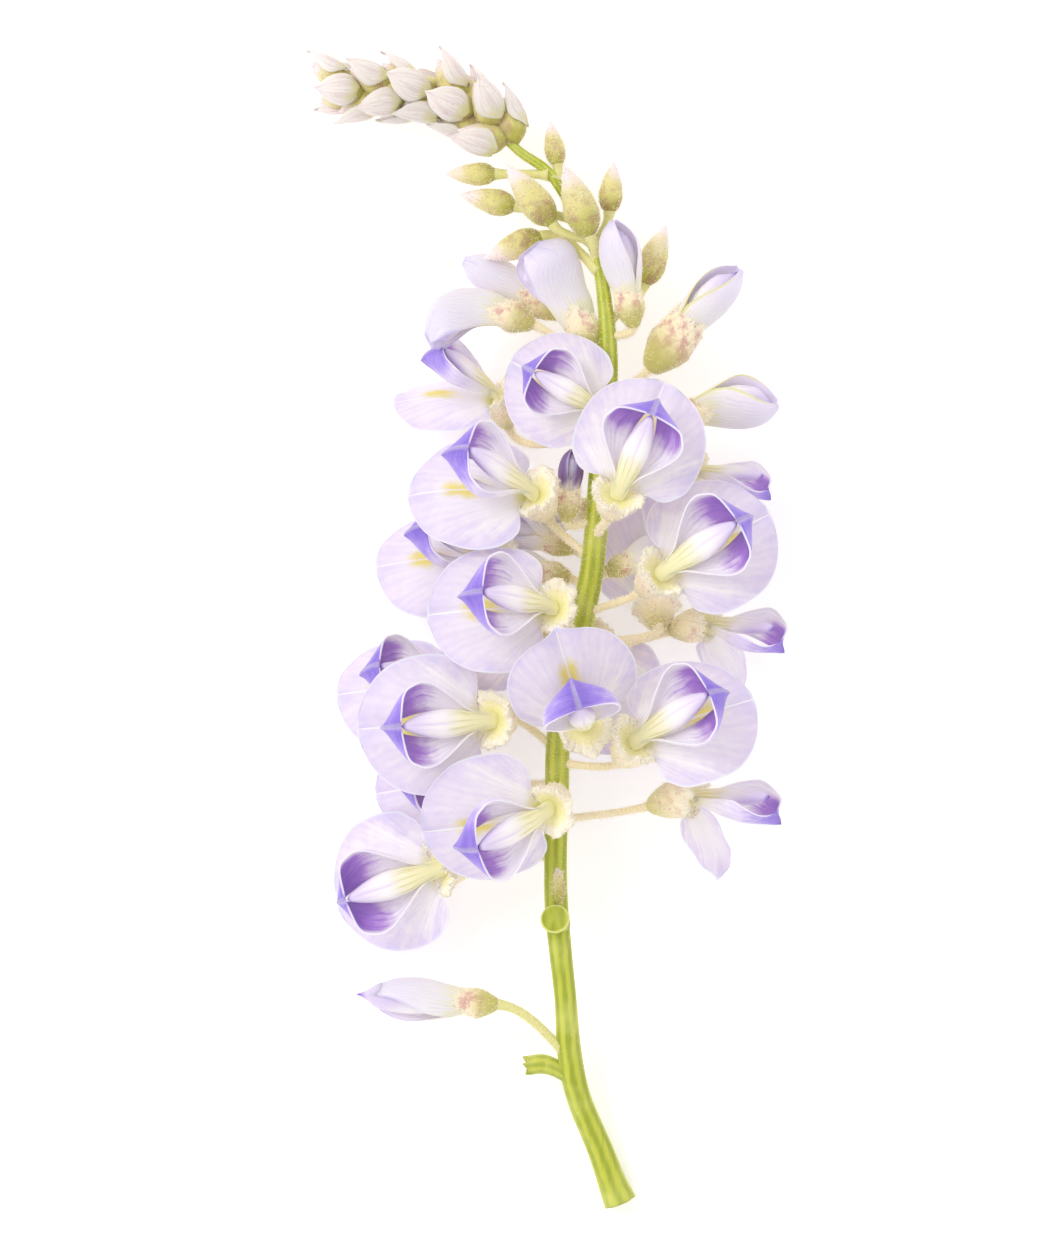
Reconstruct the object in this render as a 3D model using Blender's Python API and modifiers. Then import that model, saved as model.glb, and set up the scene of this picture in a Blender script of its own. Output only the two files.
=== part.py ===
# Wisteria raceme, cut from its vine and lying on a flat surface.
# X runs across the raceme, Y from the cut end of the stalk to the tip, Z up from the surface.
# The origin is on the surface, under the middle of the whole raceme. Sizes below are in millimetres.

import math

import bmesh
import bpy
import numpy as np
from mathutils import Matrix, Vector

MM = 0.001

# The layout below is moved by this at the end, so that the origin is under the middle
ORIGIN_SHIFT = (0.36, -0.45, -0.08)

# One open flower, in its own frame: E runs from the calyx mouth to the tip of the banner petal,
# S sideways, N out of the banner's face. The wings and keel stand up from E by the reflex angle
# of that flower, and the calyx's own axis A by CALYX_RISE more, up to CALYX_STEEPEST.
BANNER_START = 0.8
BANNER_LENGTH = 17.8
BANNER_SIDE_FALL = 1.7
BANNER_CREASE = 0.45
PETAL_THICKNESS = 0.6
PETAL_SEAT = -1.9
REFLEX = 30.0

# The calyx is a small bell on a slim stalk, the pedicel
CALYX_LENGTH = 7.0
CALYX_RADIUS = 3.5
CALYX_FLOOR = -2.3
CALYX_FLOOR_RADIUS = 2.0
CALYX_RISE = 36.0
CALYX_STEEPEST = 73.0
PEDICEL_RADIUS = 0.6

# Centre of the green stem from the cut end to the tip: x, y, z, radius
STEM_PATH = (
    (10.8, -85.4, 2.5, 2.45),
    (9.6, -82.5, 3.0, 2.1),
    (7.7, -77.3, 4.1, 1.95),
    (4.5, -69.5, 6.2, 1.8),
    (3.1, -62.7, 8.2, 1.8),
    (2.5, -54.5, 10.2, 1.65),
    (1.7, -47.0, 11.8, 1.65),
    (1.1, -40.2, 13.0, 1.75),
    (1.0, -32.0, 14.2, 1.7),
    (1.2, -23.0, 15.2, 1.75),
    (1.4, -15.5, 15.8, 1.8),
    (2.6, -8.0, 16.2, 1.85),
    (4.5, 0.8, 16.4, 1.85),
    (6.3, 9.3, 16.4, 1.8),
    (7.2, 17.6, 16.4, 1.7),
    (7.7, 25.0, 16.4, 1.65),
    (8.6, 34.0, 16.2, 1.5),
    (8.9, 42.2, 15.8, 1.35),
    (8.3, 50.6, 15.2, 1.1),
    (7.0, 58.0, 14.6, 0.95),
    (4.0, 63.4, 14.0, 0.85),
    (1.6, 67.6, 13.5, 0.8),
    (-0.6, 70.3, 13.2, 0.75),
    (-4.5, 73.0, 12.8, 0.7),
    (-8.8, 77.0, 12.3, 0.65),
    (-13.5, 80.0, 11.6, 0.6),
    (-18.5, 81.2, 10.9, 0.6),
    (-23.4, 81.8, 10.2, 0.55),
    (-28.3, 82.2, 9.5, 0.5),
    (-32.0, 82.8, 9.0, 0.4),
)

# Open flowers: calyx mouth (x, y, z), heading and pitch of E and roll about it in degrees,
# height on the stem where the pedicel starts, reflex of the banner in degrees, size, and the
# banner's share of its full length
FLOWERS = {
    "flower_01": ((7.6, 34.0, 21.8), 151, -14, 0, 31.0, 30, 0.88, 1),
    "flower_02": ((10.3, 21.5, 30.0), 67, -8, 0, 15.0, 30, 1.0, 1),
    "flower_03": ((-2.4, 21.8, 22.0), 175, -5, -34, 11.5, 46, 1.02, 1),
    "flower_04": ((17.0, 9.7, 26.0), 30, -12, 8, 3.5, 30, 1.04, 1),
    "flower_05": ((-8.5, 12.2, 9.5), 180, 0, -34, 6.0, 40, 0.95, 1),
    "flower_06": ((0.4, 4.6, 27.0), 181, 0, -16, -1.0, 40, 1.0, 1),
    "flower_07": ((5.4, -13.6, 25.0), 107, 46, 0, -17.0, 30, 1.0, 1),
    "flower_08": ((13.0, -15.3, 25.0), 22, -8, 20, -19.0, 32, 1.03, 1),
    "flower_09": ((-9.0, -12.4, 23.9), 184, -4, 0, -17.0, 30, 1.08, 1),
    "flower_10": ((-0.2, -25.9, 26.0), 194, 0, 22, -29.0, 34, 1.03, 1),
    "flower_11": ((-16.8, -34.8, 13.5), 199, -28, 0, -33.0, 28, 1.08, 1),
    "flower_12": ((-7.6, 36.6, 9.2), 177, 0, -62, 30.0, 40, 0.85, 1),
    "flower_13": ((23.4, 2.2, 11.5), -54, 0, 54, -3.5, 56, 0.9, 0.64),
    "flower_14": ((21.0, -23.9, 12.0), -56, 0, 62, -27.5, 60, 1.0, 0.62),
    "flower_15": ((21.6, 25.2, 10.4), -52, 0, 66, 16.0, 50, 0.85, 0.64),
    "flower_16": ((-14.4, -7.3, 11.0), 180, 0, -30, -11.0, 30, 0.95, 1),
    "flower_17": ((-10.5, -21.5, 9.0), 186, 0, -10, -22.0, 28, 0.85, 1),
    "flower_18": ((-1.6, 0.5, 4.8), 186, 0, 180, 3.0, 24, 0.8, 1),
    "flower_19": ((16.2, 4.6, 5.3), 98, 0, 180, -1.0, 24, 0.9, 1),
    "flower_20": ((6.2, -0.6, 5.6), -73, 0, 180, 1.0, 24, 0.95, 1),
}

# Half-open flowers: calyx mouth, heading, pitch, roll, pedicel height,
# petal length, width, depth, bend, calyx size
OPENING = {
    "opening_01": ((23.7, 34.2, 12.0), 16, 0, 60, 27.5, 12.6, 5.0, 8.0, -14, 0.9),
    "opening_02": ((4.0, 48.9, 15.0), 112, 8, 75, 42.0, 13.6, 5.0, 9.6, 16, 1.0),
    "opening_03": ((-8.0, 49.2, 13.4), 158, 0, 80, 38.0, 13.0, 4.6, 7.4, 48, 0.9),
    "opening_04": ((-3.3, 51.6, 9.6), 152, 3, 10, 44.0, 12.6, 5.8, 5.4, 0, 0.95),
    "opening_05": ((20.8, 47.0, 13.5), 50, 3, 30, 36.0, 14.0, 5.6, 7.0, -8, 1.3),
    "opening_06": ((11.6, 52.1, 17.0), 101, 6, 0, 45.0, 12.2, 6.0, 5.6, 6, 0.85),
    "opening_07": ((3.0, 21.8, 17.5), 85, 0, 0, 17.5, 7.6, 3.6, 4.0, 0, 0.68),
    "opening_08": ((-13.5, -54.8, 11.5), 176, 0, -70, -63.0, 15.0, 4.4, 6.4, 0, 0.85),
}

# Closed buds with stalks: base (x, y, z), heading, pitch, height on the stem, length, width
BUDS = (
    ((14.1, 52.4, 12.5), 70, 0, 47.0, 9.8, 4.2),
    ((-0.5, 60.4, 13.0), 201, 0, 55.0, 9.5, 4.2),
    ((9.0, 63.2, 13.5), 85, 0, 58.5, 8.0, 3.4),
    ((6.4, 59.5, 17.0), 110, 6, 57.0, 11.5, 5.0),
    ((0.9, 61.4, 16.0), 128, 4, 59.5, 11.5, 4.6),
    ((-4.5, 64.6, 12.5), 168, 0, 62.5, 8.8, 3.8),
    ((-7.4, 69.6, 11.5), 180, 0, 69.5, 8.0, 3.3),
    ((1.4, 70.3, 12.5), 100, 0, 68.5, 7.2, 2.9),
)

# The tight head of small buds at the tip, in a spiral round the stem
HEAD_BUDS = 22
HEAD_START = 167.0
HEAD_TURN = math.radians(137.5)
HEAD_BUD_LENGTH = 8.6
HEAD_BUD_WIDTH = 4.7
HEAD_LEAN = math.radians(33)
HEAD_TAPER = 0.15

COLOURS = {
    "stem": ((0.42, 0.52, 0.11, 1), 0.5),
    "banner": ((0.80, 0.74, 0.90, 1), 0.45),
    "wings_keel": ((0.42, 0.30, 0.72, 1), 0.45),
    "petals": ((0.78, 0.72, 0.88, 1), 0.45),
}


def clear_scene():
    for old in list(bpy.data.objects):
        bpy.data.objects.remove(old, do_unlink=True)


def new_collection(name):
    found = bpy.data.collections.new(name)
    bpy.context.scene.collection.children.link(found)
    return found


def material(name):
    made = bpy.data.materials.get(name)
    if made is None:
        colour, roughness = COLOURS[name]
        made = bpy.data.materials.new(name)
        made.use_nodes = True
        shader = made.node_tree.nodes["Principled BSDF"]
        shader.inputs["Base Color"].default_value = colour
        shader.inputs["Roughness"].default_value = roughness
        made.diffuse_color = colour
    return made


def smooth(keys, values, at):
    """Values at the points asked for, on a smooth curve through (key, value) pairs."""
    keys, values = np.array(keys, float), np.array(values, float)
    slopes = np.gradient(values, keys)
    at = np.clip(np.asarray(at, float), keys[0], keys[-1])
    i = np.clip(np.searchsorted(keys, at, side="right") - 1, 0, len(keys) - 2)
    step = keys[i + 1] - keys[i]
    u = (at - keys[i]) / step
    start = (1 + 2 * u) * (1 - u) ** 2 * values[i] + u * (1 - u) ** 2 * step * slopes[i]
    end = u * u * (3 - 2 * u) * values[i + 1] - u * u * (1 - u) * step * slopes[i + 1]
    return start + end


def stem_at(height):
    """Centre of the stem at this y."""
    path = np.array(STEM_PATH)
    return Vector([float(np.interp(height, path[:, 1], path[:, k])) for k in range(3)])


def stem_along(distance):
    """Centre and direction of the stem at this distance from the cut end."""
    path = np.array(STEM_PATH)[:, :3]
    run = np.concatenate([[0], np.cumsum(np.linalg.norm(np.diff(path, axis=0), axis=1))])
    here = [float(np.interp(distance, run, path[:, k])) for k in range(3)]
    there = [float(np.interp(distance - 4.0, run, path[:, k])) for k in range(3)]
    return Vector(here), (Vector(here) - Vector(there)).normalized()


def frame_of(place, heading, pitch, roll):
    """Matrix of a local frame (E, S, N) at a place, turned by heading, pitch and roll."""
    h, p, r = (math.radians(a) for a in (heading, pitch, roll))
    e = Vector((math.cos(h) * math.cos(p), math.sin(h) * math.cos(p), math.sin(p)))
    n_level = Vector((-math.cos(h) * math.sin(p), -math.sin(h) * math.sin(p), math.cos(p)))
    s_level = n_level.cross(e)
    n = n_level * math.cos(r) + s_level * math.sin(r)
    s = n.cross(e)
    turned = Matrix((e, s, n)).transposed().to_4x4()
    return Matrix.Translation(Vector(place)) @ turned


def from_flower_axes(a, s, u, reflex):
    """(E, S, N) from distances along the flower's axis A, sideways S and towards the banner U."""
    c, d = math.cos(math.radians(reflex)), math.sin(math.radians(reflex))
    return np.stack([c * a + d * u, s, d * a - c * u], axis=-1)


def raised(e, s, n, reflex):
    """Turns a point of the wings or keel about the calyx mouth, for this flower's reflex."""
    more = math.radians(reflex - REFLEX)
    c, d = math.cos(more), math.sin(more)
    places = np.broadcast_arrays(c * e - d * n, s, d * e + c * n)
    return np.stack(places, axis=-1)


# The banner from its claw to its tip: half width, how far back its sides lie, and height
BANNER_KEYS = (0, 0.08, 0.16, 0.3, 0.45, 0.6, 0.75, 0.88, 0.96, 1)
BANNER_HALF_WIDTH = (1.1, 1.5, 5.4, 8.6, 9.7, 9.7, 8.7, 6.5, 3.9, 1.2)
BANNER_SWEEP = (0, 0.2, 2.4, 3.0, 2.6, 1.6, 0.9, 0.5, 0.3, 0.1)
BANNER_RISE = (-1.1, -1.1, -1.1, -0.9, -0.8, -1.1, -1.7, -2.4, -2.9, -3.2)
BANNER_CLAW = (-0.1, -2.15)
BANNER_CLAW_REACH = 3.0


def banner_points(x, t, reflex, share):
    """The banner: a disc with a short claw, x across and t from the claw to the tip. Its sides
    and tip fall back, and a crease runs down the middle of its upper half."""
    s = x * smooth(BANNER_KEYS, BANNER_HALF_WIDTH, t) * share
    e = share * (BANNER_LENGTH * t - smooth(BANNER_KEYS, BANNER_SWEEP, t) * x * x)
    e = e + BANNER_START + BANNER_CLAW_REACH * (1 - share)
    n = smooth(BANNER_KEYS, BANNER_RISE, t) - BANNER_SIDE_FALL * (s / 9.7) ** 2
    n = n - BANNER_CREASE * np.exp(-((s / 1.5) ** 2)) * np.clip(1.6 * t - 0.3, 0, 1)
    low = np.clip(1 - t / 0.16, 0, 1) ** 2
    claw = raised(np.array(BANNER_CLAW[0]), s, np.array(BANNER_CLAW[1]), reflex)
    return claw * low[..., None] + np.stack([e, s, n], axis=-1) * (1 - low[..., None])


# One wing, from its claw to its tip: the inner margin beside the banner, the side of the bowl,
# and the rim that faces away from the banner, each as rows of E, S and N
WING_KEYS = (0, 0.15, 0.35, 0.55, 0.75, 0.9, 1)
WING_INNER = (
    (0.6, 2.3, 5.0, 8.0, 11.0, 13.5, 14.8),
    (0.4, 0.9, 1.6, 1.8, 1.3, 0.6, 0.14),
    (-0.2, 0.1, 0.8, 1.5, 2.1, 2.8, 3.3),
)
WING_SIDE = (
    (0.6, 2.5, 5.0, 7.7, 10.4, 12.2, 13.4),
    (0.7, 1.5, 3.5, 5.1, 4.7, 2.8, 0.14),
    (0.2, 0.7, 1.6, 2.6, 3.5, 4.6, 5.2),
)
WING_RIM = (
    (0.6, 2.5, 4.9, 7.3, 9.4, 11.0, 11.6),
    (0.8, 1.6, 3.8, 5.6, 5.6, 3.9, 0.14),
    (0.8, 1.7, 3.6, 5.2, 6.4, 7.0, 6.8),
)


def wing_points(t, v, side, reflex):
    """One wing: t from its claw to its tip, v from the inner margin to the rim.
    The pair is a bowl whose front wall leans back over it and ends in a beak."""
    inner = [smooth(WING_KEYS, row, t) for row in WING_INNER]
    middle = [smooth(WING_KEYS, row, t) for row in WING_SIDE]
    rim = [smooth(WING_KEYS, row, t) for row in WING_RIM]
    first, second, third = 2 * (v - 0.5) * (v - 1), 4 * v * (1 - v), 2 * v * (v - 0.5)
    e, s, n = (first * i + second * m + third * r for i, m, r in zip(inner, middle, rim))
    return raised(e, side * s, n, reflex)


# The keel, from its base to its tip: E, half width, N of its centre and half depth
KEEL_KEYS = (0, 0.12, 0.3, 0.55, 0.8, 0.93, 1)
KEEL_LENGTH = (-1.1, 1.6, 3.8, 6.6, 9.4, 10.9, 11.6)
KEEL_HALF_WIDTH = (0.8, 1.2, 1.8, 2.0, 1.35, 0.65, 0.2)
KEEL_CENTRE = (-1.5, 1.0, 2.2, 3.7, 5.1, 5.9, 6.3)
KEEL_HALF_DEPTH = (0.6, 1.0, 1.3, 1.5, 1.2, 0.7, 0.3)


def keel_points(t, turn, reflex):
    """The keel: a boat whose section is an oval, t from its base to its tip."""
    e = smooth(KEEL_KEYS, KEEL_LENGTH, t)
    s = smooth(KEEL_KEYS, KEEL_HALF_WIDTH, t) * np.sin(turn)
    n = smooth(KEEL_KEYS, KEEL_CENTRE, t) + smooth(KEEL_KEYS, KEEL_HALF_DEPTH, t) * np.cos(turn)
    return raised(e, s, n, reflex)


def object_from(mesh, name, matrix, collection, colour):
    mesh.shade_smooth()
    mesh.materials.append(material(colour))
    made = bpy.data.objects.new(name, mesh)
    made.matrix_world = matrix
    collection.objects.link(made)
    return made


def sheet_object(name, columns, rows, shape, matrix, size, collection, colour):
    """A grid whose points are moved by a formula, cut into triangles and given a thickness."""
    work = bmesh.new()
    bmesh.ops.create_grid(work, x_segments=len(columns) - 1, y_segments=len(rows) - 1, size=1)
    work.verts.ensure_lookup_table()
    order = np.array([(v.co.x, v.co.y) for v in work.verts])
    column = np.rint((order[:, 0] + 1) / 2 * (len(columns) - 1)).astype(int)
    row = np.rint((order[:, 1] + 1) / 2 * (len(rows) - 1)).astype(int)
    places = shape(np.array(columns)[column], np.array(rows)[row]) * size * MM
    for vertex, place in zip(work.verts, places):
        vertex.co = place
    bmesh.ops.triangulate(work, faces=work.faces)
    mesh = bpy.data.meshes.new(name)
    work.to_mesh(mesh)
    work.free()
    made = object_from(mesh, name, matrix, collection, colour)
    thick = made.modifiers.new("thickness", "SOLIDIFY")
    thick.thickness = PETAL_THICKNESS * MM
    thick.offset = 0
    return made


def round_object(name, sides, rings, shape, matrix, collection, colour):
    """A sphere whose points are moved by a formula of height from 0 to 1 and turn."""
    work = bmesh.new()
    bmesh.ops.create_uvsphere(work, u_segments=sides, v_segments=rings, radius=1)
    co = np.array([v.co for v in work.verts])
    height = 1 - np.arccos(np.clip(co[:, 2], -1, 1)) / math.pi
    turn = np.arctan2(co[:, 1], co[:, 0])
    away = np.hypot(co[:, 0], co[:, 1]) > 1e-5
    for vertex, place in zip(work.verts, shape(height, turn, away) * MM):
        vertex.co = place
    bmesh.ops.recalc_face_normals(work, faces=work.faces)
    if work.calc_volume(signed=True) < 0:
        bmesh.ops.reverse_faces(work, faces=work.faces)
    mesh = bpy.data.meshes.new(name)
    work.to_mesh(mesh)
    work.free()
    return object_from(mesh, name, matrix, collection, colour)


def tube_object(name, points, radii, resolution, collection, colour):
    """A curve with a round section, made a closed mesh."""
    curve = bpy.data.curves.new(name, "CURVE")
    curve.dimensions = "3D"
    curve.bevel_depth = MM
    curve.bevel_resolution = resolution
    curve.use_fill_caps = True
    spline = curve.splines.new("POLY")
    spline.points.add(len(points) - 1)
    for knot, place, radius in zip(spline.points, points, radii):
        knot.co = (*(Vector(place) * MM), 1)
        knot.radius = radius
    guide = bpy.data.objects.new(name, curve)
    collection.objects.link(guide)
    bpy.context.view_layer.update()
    graph = bpy.context.evaluated_depsgraph_get()
    mesh = bpy.data.meshes.new_from_object(guide.evaluated_get(graph))
    bpy.data.objects.remove(guide, do_unlink=True)
    work = bmesh.new()
    work.from_mesh(mesh)
    bmesh.ops.remove_doubles(work, verts=work.verts, dist=1e-6)
    bmesh.ops.recalc_face_normals(work, faces=work.faces)
    work.to_mesh(mesh)
    work.free()
    return object_from(mesh, name, Matrix.Identity(4), collection, colour)


def union_into(base, parts):
    """Joins everything in a collection to the base as one closed body, and removes the rest."""
    join = base.modifiers.new("join", "BOOLEAN")
    join.operation = "UNION"
    join.operand_type = "COLLECTION"
    join.collection = parts
    join.solver = "EXACT"
    bpy.context.view_layer.update()
    graph = bpy.context.evaluated_depsgraph_get()
    mesh = bpy.data.meshes.new_from_object(base.evaluated_get(graph))
    base.modifiers.clear()
    base.data = mesh
    for part in list(parts.objects):
        bpy.data.objects.remove(part, do_unlink=True)
    bpy.data.collections.remove(parts)


def add_banner(name, matrix, size, reflex, share, collection):
    columns = (-1, -0.52, 0, 0.52, 1)
    rows = (0, 0.08, 0.16, 0.32, 0.58, 0.86, 1)
    return sheet_object(
        name + "_banner", columns, rows, lambda x, t: banner_points(x, t, reflex, share),
        matrix, size, collection, "banner",
    )


def add_wings_keel(name, matrix, size, reflex, collection):
    """Two wings and the keel between them, joined at their claws and at their tips."""
    keel = round_object(
        name + "_wings_keel", 5, 6,
        lambda t, turn, away: size * keel_points(t, np.where(away, turn, 0), reflex)
        * np.ones((1, 3)),
        matrix, collection, "wings_keel",
    )
    parts = new_collection(name + "_wings")
    rows = (0, 0.22, 0.52, 0.8, 1)
    across = (0, 0.36, 0.7, 1)
    for side in (-1, 1):
        sheet_object(
            f"{name}_wing_{side}", rows, across,
            lambda t, v, side=side: wing_points(t, v, side, reflex),
            matrix, size, parts, "wings_keel",
        )
    union_into(keel, parts)
    return keel


def calyx_profile(height, turn, away):
    """The calyx in (A, S, U): a bell from its base to the rim, then in over the rim to the floor.
    The rim is low behind the banner, and its long teeth are on the other side."""
    teeth = np.interp(
        np.abs(np.degrees(turn)), (0, 36, 72, 108, 144, 180), (-2.0, -1.5, -0.3, 1.1, 0.4, 1.9)
    )
    a = np.select(
        [height < 0.1, height < 0.3, height < 0.5, height < 0.7, height < 0.9],
        [-CALYX_LENGTH, -CALYX_LENGTH + 0.9, -CALYX_LENGTH * 0.45, teeth, CALYX_FLOOR],
        CALYX_FLOOR,
    )
    radius = np.select(
        [height < 0.1, height < 0.3, height < 0.5, height < 0.7, height < 0.9],
        [0.0, 1.5, 2.75, CALYX_RADIUS, CALYX_FLOOR_RADIUS],
        0.0,
    )
    return a, radius * np.sin(turn), radius * np.cos(turn)


def add_calyx(name, matrix, size, reflex, collection):
    def shape(height, turn, away):
        a, s, u = calyx_profile(height, turn, away)
        return size * from_flower_axes(a, s, u, reflex)

    return round_object(name, 8, 5, shape, matrix, collection, "stem")


def add_pedicel(name, base, direction, height, collection):
    """A stalk from inside the stem to inside the calyx base, along a smooth bend."""
    start = stem_at(height)
    reach = (base - start).length
    outwards = (base - start).normalized()
    bend = [start, start + outwards * reach * 0.35, base - direction * reach * 0.35, base + direction * 0.8]
    places = []
    for u in (0, 0.35, 0.7, 1):
        weights = ((1 - u) ** 3, 3 * u * (1 - u) ** 2, 3 * u * u * (1 - u), u**3)
        places.append(sum((point * w for point, w in zip(bend, weights)), Vector()))
    tube_object(name, places, [PEDICEL_RADIUS] * len(places), 1, collection, "stem")


def axis_of(matrix, reflex):
    """Direction of the flower's axis A in the raceme's frame."""
    local = Vector(from_flower_axes(1.0, 0.0, 0.0, reflex))
    return (matrix.to_3x3() @ local).normalized()


def petal_frame(mouth, heading, pitch, roll):
    return frame_of(Vector(mouth) * MM, heading, pitch, roll)


# Folded petals of a half-open flower from their base to their tip: share of the full width
POD_KEYS = (0, 0.15, 0.35, 0.6, 0.85, 1)
POD_HALF_WIDTH = (0.26, 0.38, 0.82, 1.0, 0.72, 0.28)


def pod_points(t, turn, away, seat, length, width, depth, bend):
    """Folded petals of a half-open flower: a flat oval pod from its seat, bent along its length."""
    half = np.where(away, smooth(POD_KEYS, POD_HALF_WIDTH, t), 0.0)
    along = seat + length * t
    droop = math.radians(bend) * t
    e = along * np.cos(droop) - depth / 2 * half * np.cos(turn) * np.sin(droop)
    n = along * np.sin(droop) + depth / 2 * half * np.cos(turn) * np.cos(droop)
    return np.stack([e, width / 2 * half * np.sin(turn), n], axis=-1)


def bud_points(t, turn, away, length, width):
    """A closed bud: an egg drawn out to a blunt point."""
    half = smooth((0, 0.12, 0.35, 0.6, 0.85, 1), (0, 0.6, 1, 0.92, 0.45, 0), t)
    radius = np.where(away, np.maximum(half, 0.15), 0) * width / 2
    return np.stack([length * t, radius * np.sin(turn), radius * np.cos(turn)], axis=-1)


def add_bud(name, base, heading, pitch, length, width, sides, rings, collection):
    matrix = frame_of(Vector(base) * MM, heading, pitch, 0)
    round_object(
        name, sides, rings,
        lambda t, turn, away: bud_points(t, turn, away, length, width),
        matrix, collection, "stem",
    )


def add_stubs(collection):
    """The cut stalk of a leaf facing up, the cut stalk of a bract, and a small bud between."""
    leaf = stem_at(-43.2)
    tube_object(
        "leaf_scar", [leaf, leaf + Vector((-0.5, 1.0, 3.9))], [1.5, 1.45], 2, collection, "stem"
    )
    bract = stem_at(-66.8)
    places = [
        bract,
        bract + Vector((-2.6, 1.6, 0.2)),
        bract + Vector((-4.8, 2.4, 0.6)),
        bract + Vector((-7.2, 2.2, 0.6)),
    ]
    tube_object("bract_stub", places, [1.2, 1.3, 1.5, 1.45], 1, collection, "stem")
    base = stem_at(-41.0) + Vector((0.3, 0.6, 1.0))
    add_bud("side_bud", base, 92, 8, 6.5, 1.9, 5, 4, collection)


def add_head(collection):
    """Small buds round the last stretch of the stem, in a spiral, each leaning forwards."""
    path = np.array(STEM_PATH)[:, :3]
    whole = float(np.linalg.norm(np.diff(path, axis=0), axis=1).sum())
    for i in range(HEAD_BUDS):
        share = i / (HEAD_BUDS - 1)
        place, forwards = stem_along(HEAD_START + (whole - 2.0 - HEAD_START) * share)
        side = forwards.cross(Vector((0, 0, 1))).normalized()
        up = side.cross(forwards)
        turn = HEAD_TURN * i
        out = side * math.cos(turn) + up * math.sin(turn)
        lean = HEAD_LEAN * (1 - 0.25 * share)
        aim = forwards * math.cos(lean) + out * math.sin(lean)
        heading = math.degrees(math.atan2(aim.y, aim.x))
        pitch = math.degrees(math.asin(aim.z))
        size = 1 - HEAD_TAPER * share
        base = place + out * 0.45 * size
        length, width = HEAD_BUD_LENGTH * size, HEAD_BUD_WIDTH * size
        add_bud(f"head_{i}", base, heading, pitch, length, width, 5, 4, collection)


def add_open_flower(name, values, raceme, green):
    mouth, heading, pitch, roll, height, reflex, size, share = values
    matrix = petal_frame(mouth, heading, pitch, roll)
    add_banner(name, matrix, size, reflex, share, raceme)
    add_wings_keel(name, matrix, size, reflex, raceme)
    steep = min(reflex + CALYX_RISE, CALYX_STEEPEST)
    add_calyx(name + "_calyx", matrix, size, steep, green)
    axis = axis_of(matrix, steep)
    base = Vector(mouth) - axis * CALYX_LENGTH * size
    add_pedicel(name + "_pedicel", base, axis, height, green)


def add_opening_flower(name, values, raceme, green):
    mouth, heading, pitch, roll, height, length, width, depth, bend, size = values
    matrix = petal_frame(mouth, heading, pitch, roll)
    seat = PETAL_SEAT * size
    round_object(
        name + "_petals", 8, 7,
        lambda t, turn, away: pod_points(t, turn, away, seat, length, width, depth, bend),
        matrix, raceme, "petals",
    )
    add_calyx(name + "_calyx", matrix, size, 0, green)
    axis = axis_of(matrix, 0)
    add_pedicel(name + "_pedicel", Vector(mouth) - axis * CALYX_LENGTH * size, axis, height, green)


def add_stem(raceme, green):
    places = [row[:3] for row in STEM_PATH]
    radii = [row[3] for row in STEM_PATH]
    stem = tube_object("stem", places, radii, 2, raceme, "stem")
    add_stubs(green)
    add_head(green)
    for i, (base, heading, pitch, height, length, width) in enumerate(BUDS):
        add_bud(f"bud_{i}", base, heading, pitch, length, width, 6, 5, green)
        matrix = frame_of(Vector(base), heading, pitch, 0)
        add_pedicel(f"bud_stalk_{i}", Vector(base), axis_of(matrix, 0), height, green)
    union_into(stem, green)
    return stem


def main():
    clear_scene()
    raceme = new_collection("wisteria_raceme")
    green = new_collection("stem_parts")
    for name, values in FLOWERS.items():
        add_open_flower(name, values, raceme, green)
    for name, values in OPENING.items():
        add_opening_flower(name, values, raceme, green)
    add_stem(raceme, green)
    for part in raceme.objects:
        part.matrix_world = Matrix.Translation(Vector(ORIGIN_SHIFT) * MM) @ part.matrix_world


main()
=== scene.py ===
# Wisteria raceme lying on a pale surface, seen from straight above.
# Every petal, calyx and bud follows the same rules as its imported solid, worked out finer.
# Local sizes are millimetres: E to the banner's tip, S sideways, N out of the banner's face.
import math

import bpy
import numpy as np
from mathutils import Matrix


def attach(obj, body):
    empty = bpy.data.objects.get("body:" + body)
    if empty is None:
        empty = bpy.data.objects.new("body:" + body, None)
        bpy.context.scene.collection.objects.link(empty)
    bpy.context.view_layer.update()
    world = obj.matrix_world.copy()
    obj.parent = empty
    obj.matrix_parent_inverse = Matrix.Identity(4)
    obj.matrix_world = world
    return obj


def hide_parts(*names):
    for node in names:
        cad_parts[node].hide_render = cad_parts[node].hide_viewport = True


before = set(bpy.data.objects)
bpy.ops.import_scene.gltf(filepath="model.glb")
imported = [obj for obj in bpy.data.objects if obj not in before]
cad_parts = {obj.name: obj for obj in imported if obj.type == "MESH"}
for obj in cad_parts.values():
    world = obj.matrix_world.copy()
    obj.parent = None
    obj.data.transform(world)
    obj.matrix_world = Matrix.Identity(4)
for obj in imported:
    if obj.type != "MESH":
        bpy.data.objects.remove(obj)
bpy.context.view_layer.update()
mm = 0.001
originShift = np.array([0.36, -0.45, -0.08])  # mm, from the layout's origin to the frame's
lowest = 0.02  # mm that every point keeps above the floor
plainWhite = (255, 255, 255)
chance = np.random.default_rng(11)


# Numbers and frames

def smooth(keys, values, at):
    # cubic curve through (key, value) pairs, its slopes the mean ones of the neighbours
    keys, values = np.array(keys, float), np.array(values, float)
    slopes = np.gradient(values, keys)
    at = np.clip(np.asarray(at, float), keys[0], keys[-1])
    i = np.clip(np.searchsorted(keys, at, side="right") - 1, 0, len(keys) - 2)
    step = keys[i + 1] - keys[i]
    u = (at - keys[i]) / step
    start = (1 + 2 * u) * (1 - u) ** 2 * values[i] + u * (1 - u) ** 2 * step * slopes[i]
    end = u * u * (3 - 2 * u) * values[i + 1] - u * u * (1 - u) * step * slopes[i + 1]
    return start + end


def curve(piece, row, at):
    return smooth(piece["keys"], piece[row], at)


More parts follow.
